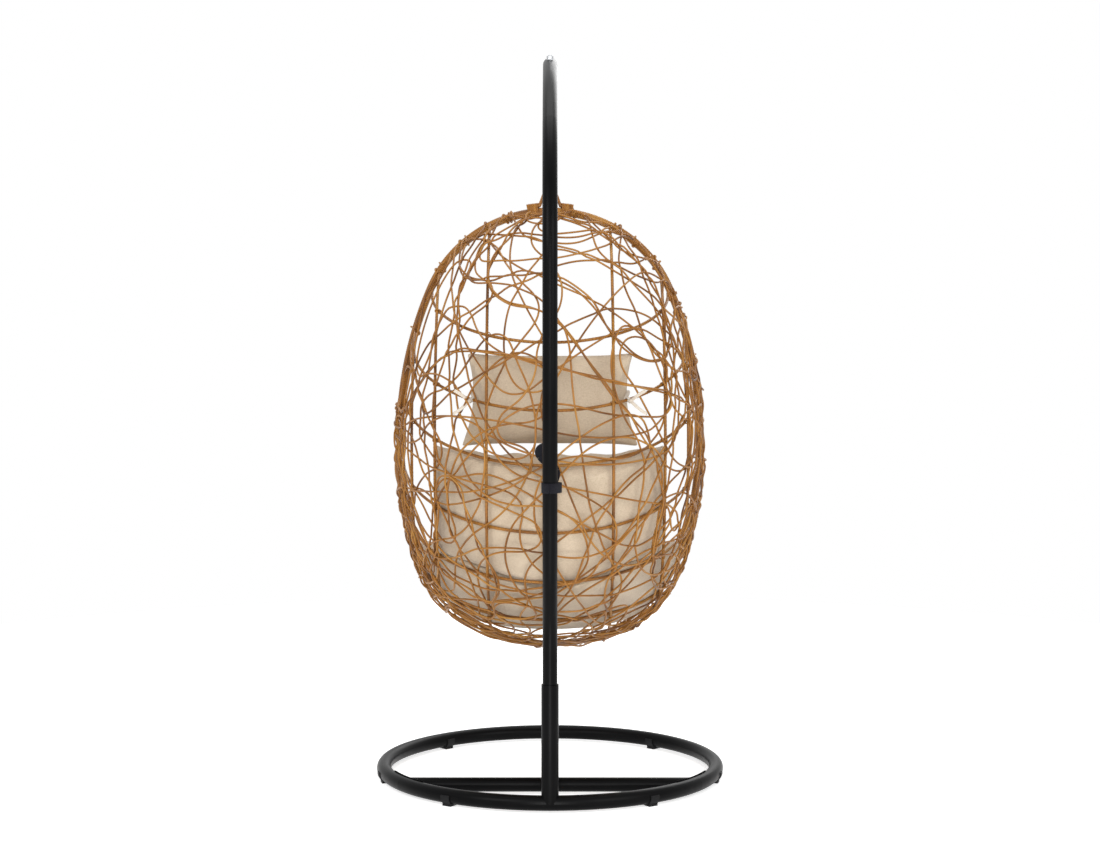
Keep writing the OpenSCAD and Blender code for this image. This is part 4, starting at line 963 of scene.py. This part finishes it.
def two_skins(name, front, back, material):
    """A closed piece from two grids of points that share their border."""
    rows, cols = front.shape[:2]
    number = np.arange(rows * cols).reshape(rows, cols)
    inner = np.full((rows, cols), -1)
    inner[1:-1, 1:-1] = np.arange((rows - 2) * (cols - 2)).reshape(rows - 2, cols - 2) + rows * cols
    other = np.where(inner < 0, number, inner)
    faces = []
    for grid, turned in ((number, False), (other, True)):
        quads = np.stack((grid[:-1, :-1], grid[1:, :-1], grid[1:, 1:], grid[:-1, 1:]), -1).reshape(-1, 4)
        faces.extend(quads[:, ::-1] if turned else quads)
    points = np.vstack((front.reshape(-1, 3), back[1:-1, 1:-1].reshape(-1, 3)))
    return add_mesh(name, points, faces, material)


def in_basket(p):
    """From the chair's frame to the basket's own upright frame."""
    c, s = math.cos(basket_lean), math.sin(basket_lean)
    y, z = p[..., 1] - basket_foot[1], p[..., 2] - basket_foot[2]
    return np.stack((p[..., 0], y * c + z * s, z * c - y * s), -1)


def kept_off_shell(p):
    """Points of a cushion, with those that reach into the hoops and ribs pushed back."""
    q = in_basket(p)
    h = np.clip(q[:, 2], 0.01, basket_h - 0.01)
    t = np.arctan2(np.maximum(-q[:, 1], 0) / depth_at(h), q[:, 0] / half_width(h))
    skin, way = on_shell(t, h)
    short = np.maximum(0, cushion_in - ((skin - q) * way).sum(1))
    return in_world(q - way * short[:, None])


def applied(piece):
    """A new mesh of the piece with its modifiers worked in."""
    view = bpy.context.evaluated_depsgraph_get()
    return bpy.data.meshes.new_from_object(piece.evaluated_get(view), depsgraph=view)


def points_of(mesh):
    flat = np.empty(len(mesh.vertices) * 3, np.float32)
    mesh.vertices.foreach_get("co", flat)
    return flat.reshape(-1, 3).astype(float)


def plumped(cover, voxel, cap, give, keep=None):
    """The same pad with its cover blown up by cloth simulation, in a mesh of its own.

    No point moves further than cap, times what give says there. keep moves points back."""
    name = cover.name
    remesh = cover.modifiers.new("voxels", "REMESH")
    remesh.mode, remesh.voxel_size = "VOXEL", voxel
    pad = bpy.data.objects.new(name + "_pad", applied(cover))
    bpy.data.objects.remove(cover)
    bpy.context.scene.collection.objects.link(pad)
    start = points_of(pad.data)
    blown = pad.modifiers.new("filling", "CLOTH")
    blown.settings.use_pressure = True
    blown.settings.uniform_pressure_force = 4.0
    blown.settings.effector_weights.gravity = 0.0
    fill_frames = 20
    for number in range(1, fill_frames + 1):
        bpy.context.scene.frame_set(number)
    swollen = points_of(applied(pad))
    pad.modifiers.remove(blown)
    bpy.context.scene.frame_set(1)
    move = swollen - start
    far = np.linalg.norm(move, axis=1, keepdims=True)
    limit = cap * give(start)[:, None]
    end = start + move * np.minimum(1, limit / np.maximum(far, 1e-9))
    end = end if keep is None else keep(end)
    pad.data.vertices.foreach_set("co", end.astype(np.float32).ravel())
    pad.modifiers.new("smooth", "SUBSURF").levels = 1
    mesh = applied(pad)
    pad.modifiers.clear()
    pad.data = mesh
    pad.data.polygons.foreach_set("use_smooth", [True] * len(mesh.polygons))
    pad.name = name
    return pad


def seam_on(name, pad, lines, radius):
    """A sewn seam: a thin ridge of the cover's own cloth that follows the finished pad."""
    finder = bvhtree.BVHTree.FromPolygons([v.co for v in pad.data.vertices],
                                          [tuple(f.vertices) for f in pad.data.polygons])
    laid_lines = []
    for line in lines:
        found = np.array([finder.find_nearest(Vector(p))[0] for p in evenly(line, 0.005)])
        found[1:-1] = found[1:-1] * 0.5 + (found[:-2] + found[2:]) * 0.25
        laid_lines.append(found)
    seam = tubes(name, laid_lines, radius, 6, canvas)
    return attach(seam, "basket")


back_low, back_high, back_t = 0.385, 0.7435, 0.112
back_half, back_seam, seam_t = 52, 0.012, 0.008
back_smile, smile_end, corner_drop = 0.041, 0.66, 0.020
side_puff, middle_puff, top_drop = 0.030, 0.018, 0.0145
channels, channel_depth = (-0.36, 0.34), 0.034


def back_edge(s):
    """Height of the cushion's lower edge, which smiles between its two lower corners."""
    a = np.abs(s)
    smile = back_smile * np.sin(math.pi / 2 * np.minimum(1, a / smile_end)) ** 2
    return back_low + smile - corner_drop * (np.maximum(0, a - smile_end) / (1 - smile_end)) ** 2


def back_point(s, v, front):
    low = back_edge(s)
    high = back_high - top_drop * s * s
    h = (low + high) / 2 + (high - low) / 2 * v
    fill = (back_t - back_seam - seam_t) * swell(s, 4) * swell(v, 4)
    cut = np.max([np.exp(-((v - c) / 0.055) ** 2) for c in channels], axis=0)
    fill = fill - channel_depth * swell(s, 4) * swell(v, 6) * cut
    if front:
        # the filling rolls up over the rear seam, gathered into a few soft scallops
        x = np.clip((v - 0.66) / 0.34, 0, 1)
        roll = x**2 * (1 - x) ** 0.7 / (0.74**2 * 0.26**0.7)
        puff = side_puff * (1 - s**4) + middle_puff * np.exp(-(s / 0.42) ** 4)
        h = h + puff * roll * (1 + 0.10 * np.cos(5.2 * math.pi * s + 0.6))
        inset = back_seam + seam_t / 2 + fill
    else:
        inset = back_seam * (1 - swell(s, 6) * swell(v, np.where(v > 0, 5, 28)))
    return in_world(on_shell(np.radians(90 + back_half * s), h, -cushion_in - inset)[0])


def border_grid(rows, cols):
    """Row and column places from -1 to 1, closer together towards the border."""
    v, s = np.meshgrid(-np.cos(np.linspace(0, math.pi, rows)), -np.cos(np.linspace(0, math.pi, cols)),
                       indexing="ij")
    return s, v


def back_give(p):
    """How freely the cover moves: hardly at its seams and channels, fully between them."""
    q = in_basket(p)
    t = np.arctan2(np.maximum(-q[:, 1], 1e-4) / depth_at(q[:, 2]), q[:, 0] / half_width(q[:, 2]))
    s = (np.degrees(t) - 90) / back_half
    low, high = back_edge(np.clip(s, -1, 1)), back_high - top_drop * s * s
    v = (2 * q[:, 2] - low - high) / (high - low)
    edge = np.clip(np.minimum(1 - np.abs(s), 1 - np.abs(v)) / 0.30, 0.06, 1)
    fold = np.min([np.clip(np.abs(v - c) / 0.16, 0.08, 1) for c in channels], axis=0)
    radius = np.hypot(q[:, 0] / half_width(q[:, 2]), q[:, 1] / depth_at(q[:, 2]))
    return edge * np.where(radius < 0.88, fold, 1)


def joined_border(front, rear):
    """Brings the border of both skins to the line halfway between them, and gives that line."""
    rim = np.ones(front.shape[:2], bool)
    rim[1:-1, 1:-1] = False
    front[rim] = (front[rim] + rear[rim]) / 2
    return np.vstack((front[0], front[1:, -1], front[-1, -2::-1], front[-2:0:-1, 0]))


s, v = border_grid(61, 101)
front_skin, rear_skin = back_point(s, v, True), back_point(s, v, False)
back_border = joined_border(front_skin, rear_skin)
back_pad = plumped(two_skins("back_cushion_cover", front_skin, rear_skin, canvas), 0.0058, 0.018,
                   back_give, kept_off_shell)
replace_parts(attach(back_pad, "basket"), "back_cushion")
s = np.linspace(-0.97, 0.97, 60)
sewn = [back_point(s, np.full(60, c), True) for c in channels]
seam_on("back_cushion_seams", back_pad, sewn + [back_border], 0.0011)

# ---------------------------------------------------------------------------------------
# Seat cushion
# A deep round-backed pad that fills the bowl of the basket, in the same canvas, with its
# top and underside level and a gusset between them.

seat_low, seat_crown = 0.088, 0.024
seat_edge, seat_gap, side_fall = 0.013, 0.018, 0.015
deepest_press, press_relief = 0.0070, 0.0055
bowl_spokes, front_spokes, wall_rings, cap_rings = 120, 40, 31, 22


def level_of(p):
    return p[..., 1] * math.sin(basket_lean) + p[..., 2] * math.cos(basket_lean)


def bowl_at(t, z, inset):
    """Where the cushion's wall meets the bowl at angle t and level z."""
    low, high = np.full(np.shape(t), 0.020), np.full(np.shape(t), 0.700)
    for halving in range(22):
        h = (low + high) / 2
        below = level_of(on_shell(t, h, -inset)[0]) < z
        low, high = np.where(below, h, low), np.where(below, high, h)
    return on_shell(t, (low + high) / 2, -inset)[0]


def slot_gap(s):
    """Gap between the cushions' rear edges. Below nothing they lap, least a little to the left."""
    return -deepest_press + press_relief * np.clip(1 - ((s - 0.10) / 0.55) ** 2, 0, 1)


def seat_top(t):
    """Level of the top's edge: at the back cushion's lower rear edge, and lower at the sides."""
    s = (np.degrees(t) - 90) / back_half
    inner = np.clip(s, -1, 1)
    edge = on_shell(np.radians(90 + back_half * inner), back_edge(inner) - slot_gap(inner), -cushion_in)[0]
    return level_of(edge) - side_fall * np.maximum(0, np.abs(s) - 1) / 0.8


def seat_wall(share):
    """One ring round the cushion, share -1 at the underside to 1 at the top."""
    inset = cushion_in + seat_edge * (1 - swell(share, 22 if share > 0 else 5))

    def wall_level(t):
        return (seat_low + seat_top(t)) / 2 + (seat_top(t) - seat_low) / 2 * share

    first = math.asin((frame_r + seat_gap) / float(depth_at(wall_level(np.array(0.0)))))
    t = first + (math.pi - 2 * first) * np.arange(bowl_spokes + 1) / bowl_spokes
    bowl = bowl_at(t, wall_level(t), np.full(t.shape, inset))
    q = np.arange(1, front_spokes)[:, None] / front_spokes
    end = bowl[0]
    sag = wall_level(np.array(first)) - wall_level(np.array(math.pi / 2))
    bulge = -seat_edge * 0.6 * (1 - swell(share, 6))
    front = np.hstack((end[0] * (2 * q - 1), end[1] + bulge * np.sin(math.pi * q),
                       end[2] - sag * np.sin(math.pi * q)))
    return np.vstack((bowl, front))


rings = [seat_wall(-math.cos(math.pi * k / (wall_rings - 1))) for k in range(wall_rings)]
up = np.array((0, math.sin(basket_lean), math.cos(basket_lean)))
centres = [(ring[bowl_spokes // 2] + ring[bowl_spokes + front_spokes // 2]) / 2
           for ring in (rings[0], rings[-1])]
under = [centres[0] + (rings[0] - centres[0]) * k / cap_rings for k in range(1, cap_rings)]
top = [centres[1] + (rings[-1] - centres[1]) * k / cap_rings
       + seat_crown * (1 - (k / cap_rings) ** 2) ** 0.7 * up for k in range(cap_rings - 1, 0, -1)]
layers = under + rings + top
count = len(rings[0])
seat_points = np.vstack(layers + [centres[0][None], (centres[1] + seat_crown * up)[None]])
seat_faces = []
for i in range(len(layers) - 1):
    for k in range(count):
        a, b = i * count + k, i * count + (k + 1) % count
        seat_faces.append((a, b, b + count, a + count))
end = len(layers) * count
for k in range(count):
    a, b = k, (k + 1) % count
    seat_faces.append((end, b, a))
    seat_faces.append((end + 1, end - count + a, end - count + b))


def seat_give(p):
    """The cover swells freely over its top, and hardly where the basket and its seams hold it."""
    q = in_basket(p)
    h = np.clip(q[:, 2], 0.01, basket_h - 0.01)
    reach = np.hypot(q[:, 0] / half_width(h), np.minimum(q[:, 1], 0) / depth_at(h))
    top = level_of(q) > 0.20
    return np.where(top, np.clip((0.90 - reach) / 0.16, 0.06, 1), 0.15)


seat_pad = plumped(add_mesh("seat_cushion_cover", in_world(seat_points), seat_faces, canvas), 0.0068, 0.016,
                   seat_give, kept_off_shell)
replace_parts(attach(seat_pad, "basket"), "seat_cushion")
gusset = [np.vstack((rings[k], rings[k][:1])) for k in (3, wall_rings - 4)]
corner = int(bowl_spokes / 2 * (1 - math.asin(0.139 / 0.40) / (math.pi / 2)))
panels = [np.array([ring[k] for ring in rings[3:-3]]) for k in (corner, bowl_spokes - corner)]
seam_on("seat_cushion_seams", seat_pad, [in_world(line) for line in gusset + panels], 0.0011)

# ---------------------------------------------------------------------------------------
# Head pillow
# A loose pillow of the same canvas, fuller in the middle and drawn out at its corners.
# Two tapes at its sides tie it to the hoop behind.

pillow_w, pillow_h, pillow_t = 0.444, 0.253, 0.112
pillow_mid, pillow_depth, pillow_flare = 0.861, 0.420, 0.035


def pillow_x(s, v):
    return pillow_w / 2 * s * (1 - 0.09 * (1 - v * v) * np.abs(s)) * (1 - pillow_flare * v)


def pillow_point(s, v, side):
    z = pillow_h / 2 * v * (1 - 0.055 * (1 - s**4) * np.abs(v))
    half = 0.0012 + (pillow_t / 2 - 0.0012) * swell(s, 2.6) * swell(v, 2.6)
    return in_world(np.stack((pillow_x(s, v), -pillow_depth + side * half, pillow_mid + z), -1))


s, v = border_grid(61, 91)
front_skin, rear_skin = pillow_point(s, v, 1), pillow_point(s, v, -1)
pillow_border = joined_border(front_skin, rear_skin)


def pillow_give(p):
    q = in_basket(p)
    s, v = q[:, 0] * 2 / pillow_w, (q[:, 2] - pillow_mid) * 2 / pillow_h
    return np.clip(np.minimum(1 - np.abs(s), 1 - np.abs(v)) / 0.40, 0.04, 1)


pillow = plumped(two_skins("head_pillow_cover", front_skin, rear_skin, canvas), 0.0042, 0.016, pillow_give)
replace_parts(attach(pillow, "basket"), "head_pillow")
seam_on("head_pillow_seam", pillow, [pillow_border], 0.0010)

# ---------------------------------------------------------------------------------------
# Pillow ties
# Narrow tapes sewn into the pillow's side seams, knotted once round the hoop, with two
# loose tails each.


def ribbon(name, points, widths_way, width, thickness, material, start=0.0):
    """A flat strap along a line of points, with rounded edges and a map of turn and length."""
    points = np.asarray(points, float)
    tangent = unit(np.gradient(points, axis=0))
    wide = np.broadcast_to(np.asarray(widths_way, float), points.shape)
    wide = unit(wide - tangent * (wide * tangent).sum(1, keepdims=True))
    flat = np.cross(tangent, wide)
    w, h, r = width / 2, thickness / 2, thickness * 0.3
    profile = [(-w, h - r), (-w + r, h), (-w / 3, h), (w / 3, h), (w - r, h), (w, h - r),
               (w, r - h), (w - r, -h), (w / 3, -h), (-w / 3, -h), (-w + r, -h), (-w, r - h)]
    n, sides = len(points), len(profile)
    corners = np.concatenate([points[i] + np.array([a * wide[i] + b * flat[i] for a, b in profile])
                              for i in range(n)])
    length = np.concatenate(([0], np.cumsum(np.linalg.norm(np.diff(points, axis=0), axis=1)))) + start
    faces, marks = [], []
    for i in range(n - 1):
        for k in range(sides):
            m = (k + 1) % sides
            faces.append((i * sides + k, (i + 1) * sides + k, (i + 1) * sides + m, i * sides + m))
            marks += [(profile[k][0], length[i]), (profile[k][0], length[i + 1]),
                      (profile[m][0], length[i + 1]), (profile[m][0], length[i])]
    faces.append(tuple(range(sides)))
    faces.append(tuple(range(n * sides - 1, (n - 1) * sides - 1, -1)))
    marks += [(0, 0)] * (2 * sides)
    return charted(add_mesh(name, corners, faces, material), marks)


def smooth_line(knots, count):
    """A smooth line through listed knots."""
    knots = np.asarray(knots, float)
    at = np.arange(len(knots))
    want = np.linspace(0, len(knots) - 1, count)
    line = np.stack([np.interp(want, at, knots[:, k]) for k in range(3)], 1)
    for smoothing in range(max(4, count // 5)):
        line[1:-1] = line[1:-1] * 0.5 + (line[:-2] + line[2:]) * 0.25
    return line


tape = cloth("tape", (0.56, 0.485, 0.395), (0.72, 0.650, 0.555), 900, 0.0002)
tie_h, tie_x, tie_w = 0.886, 0.199, 0.012
tie_turn = math.acos(tie_x / (one(half_width, tie_h) - hoop_in))
knot, knot_out = on_shell(tie_turn, tie_h, -hoop_in)
hoop_way = unit(np.cross(knot_out, (0, 0, 1)))
seam_x = float(pillow_x(np.array(1.0), np.array((tie_h - pillow_mid) * 2 / pillow_h)))
for side, label in ((1, "right"), (-1, "left")):
    flip = np.array((side, 1, 1))
    turn_line = [knot + (rod_r + 0.0022) * (knot_out * math.cos(a) + np.array((0, 0, 1)) * math.sin(a))
                 for a in np.linspace(math.pi, math.pi * 3.1, 26)]
    sewn = smooth_line([(seam_x - 0.001, -pillow_depth, tie_h),
                        (seam_x + 0.002, -pillow_depth - 0.012, tie_h),
                        knot - knot_out * 0.010 - np.array((0, 0, 0.001)), turn_line[0]], 16)
    tie = ribbon("pillow_tie_" + label, in_world(np.vstack((sewn, turn_line[1:])) * flip),
                 in_world(hoop_way * flip) - in_world((0, 0, 0)), tie_w * 0.8, 0.0011, tape)
    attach(tie, "basket")
    if side > 0:
        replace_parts(tie, "pillow_ties")
    # the two free tails stick out sideways from the knot, one up and one down
    outside = knot + knot_out * (rod_r + 0.0095) - (0, 0, 0.005)
    for number, (reach, rise, curl) in enumerate(((0.038, 0.028, 0.005), (0.042, -0.035, -0.004))):
        tail = smooth_line([outside - (0.004, 0, rise * 0.12), outside + (0.003, 0, rise * 0.10),
                            outside + (reach * 0.55, -0.004, rise * 0.52 + curl),
                            outside + (reach, 0.001, rise)], 16)
        end_piece = ribbon(f"tie_tail_{label}_{number + 1}", in_world(tail * flip), (0, 0.35, 1),
                           tie_w * 0.75, 0.0010, tape)
        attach(end_piece, "basket")
    # the knot is two short turns of the tape drawn tight over each other
    knot_lines = []
    for lean in (0.9, -0.9):
        a = np.linspace(0, 2 * math.pi, 15)[:, None]
        wide = unit(hoop_way * math.cos(lean) + np.array((0, 0, 1)) * math.sin(lean))
        knot_lines.append(in_world((outside - knot_out * 0.0020 + wide * np.cos(a) * 0.0042
                                    + knot_out * np.sin(a) * 0.0030) * flip))
    tie_knot = tubes("tie_knot_" + label, knot_lines, 0.0022, 8, tape)
    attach(tie_knot, "basket")

# ---------------------------------------------------------------------------------------
# Safety strap
# A loop of 25 mm polyester webbing round the pole, joined by a short run to a loop round
# the middle rib. It keeps the basket from swinging forward off its stand.

webbing, tree, shader = new_material("webbing")
chart = add_node(tree, "UVMap", {"uv_map": "strand"}).outputs[0]
parts = add_node(tree, "SeparateXYZ")
tree.links.new(chart, parts.inputs[0])
picks = maths(tree, "SINE", maths(tree, "MULTIPLY", parts.outputs[1], 2 * math.pi / 0.0016))
warps = maths(tree, "SINE", maths(tree, "MULTIPLY", parts.outputs[0], 2 * math.pi / 0.0021))
height = maths(tree, "MULTIPLY", picks, warps)
fuzz = add_node(tree, "TexNoise", inputs={"Scale": 260.0, "Detail": 3.0})
tree.links.new(add_node(tree, "TexCoord").outputs["Object"], fuzz.inputs["Vector"])
tone = maths(tree, "MULTIPLY_ADD", height, 0.18, fuzz.outputs[0])
shade = mix_colours(tree, tone, (0.0035, 0.0035, 0.0055), (0.0125, 0.0125, 0.0175))
tree.links.new(shade, shader.inputs["Base Color"])
add_relief(tree, shader, height, 0.8, 0.0004)
shader.inputs["Roughness"].default_value = 0.75
shader.inputs["Specular IOR Level"].default_value = 0.12
shader.inputs["Sheen Weight"].default_value = 0.03

strap_w, strap_t, strap_z = 0.025, 0.0018, 0.853
pole_at = np.array((0, -0.51025, strap_z))
ring_r, stretch_y = 0.0199, 0.0030
band = []
for a in np.linspace(-150, 262, 84):
    way = np.array((math.cos(math.radians(a)), math.sin(math.radians(a)), 0))
    slack = 0.009 * math.exp(-((a - 18) / 34) ** 2)
    spot = pole_at + way * (ring_r + strap_t / 2 + slack) + np.array((0, stretch_y * way[1], 0))
    over = max(0, (a - 190) / 72)
    band.append(spot + way * 0.0021 * min(1, over * 3))
strap_band = ribbon("strap_band_webbing", band, (0, 0, 1), strap_w, strap_t, webbing)
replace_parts(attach(strap_band, "stand"), "strap_band")

strap_low, strap_high = (0, -0.484545, 0.856), (0, -0.432317, 0.955248)
run = smooth_line([strap_low, (0.010, -0.478, 0.870), (0.0145, -0.470, 0.886), (0.007, -0.462, 0.903),
                   (-0.013, -0.455, 0.917), (-0.0275, -0.448, 0.932), (-0.024, -0.440, 0.947),
                   strap_high], 40)
cuts = (0, 13, 26, 39)
joined = (("stand", "upper_link"), ("upper_link", "chain"), ("chain", "basket"))
run_len = np.concatenate(([0], np.cumsum(np.linalg.norm(np.diff(run, axis=0), axis=1))))
for number, (a, b) in enumerate(joined):
    part = run[cuts[number]:cuts[number + 1] + 1]
    piece = ribbon(f"strap_run_{number + 1}", part, (1, 0, 0.12), strap_w, strap_t, webbing,
                   run_len[cuts[number]])
    if number == 0:
        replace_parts(piece, "strap_run")
    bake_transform(piece)

rib_spot_h = 0.8068
rib_spot, rib_out = on_shell(math.pi / 2, rib_spot_h)
rib_way = unit(on_shell(math.pi / 2, rib_spot_h + 0.01)[0] - on_shell(math.pi / 2, rib_spot_h - 0.01)[0])
loop_line = []
for a in np.linspace(-78, 258, 60):
    way = math.cos(math.radians(a)), math.sin(math.radians(a))
    pull = 0.021 if way[1] > 0.55 else 0.0
    reach = rod_r + 0.0012 + strap_t / 2
    loop_line.append(rib_spot + np.array((way[0], 0, 0)) * reach * (0.35 if pull else 1)
                     + rib_out * (way[1] * reach + pull))
rib_loop = ribbon("strap_rib_webbing", in_world(np.array(loop_line)),
                  in_world(rib_way) - in_world((0, 0, 0)), strap_w, strap_t, webbing)
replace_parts(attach(rib_loop, "basket"), "strap_rib_loop")
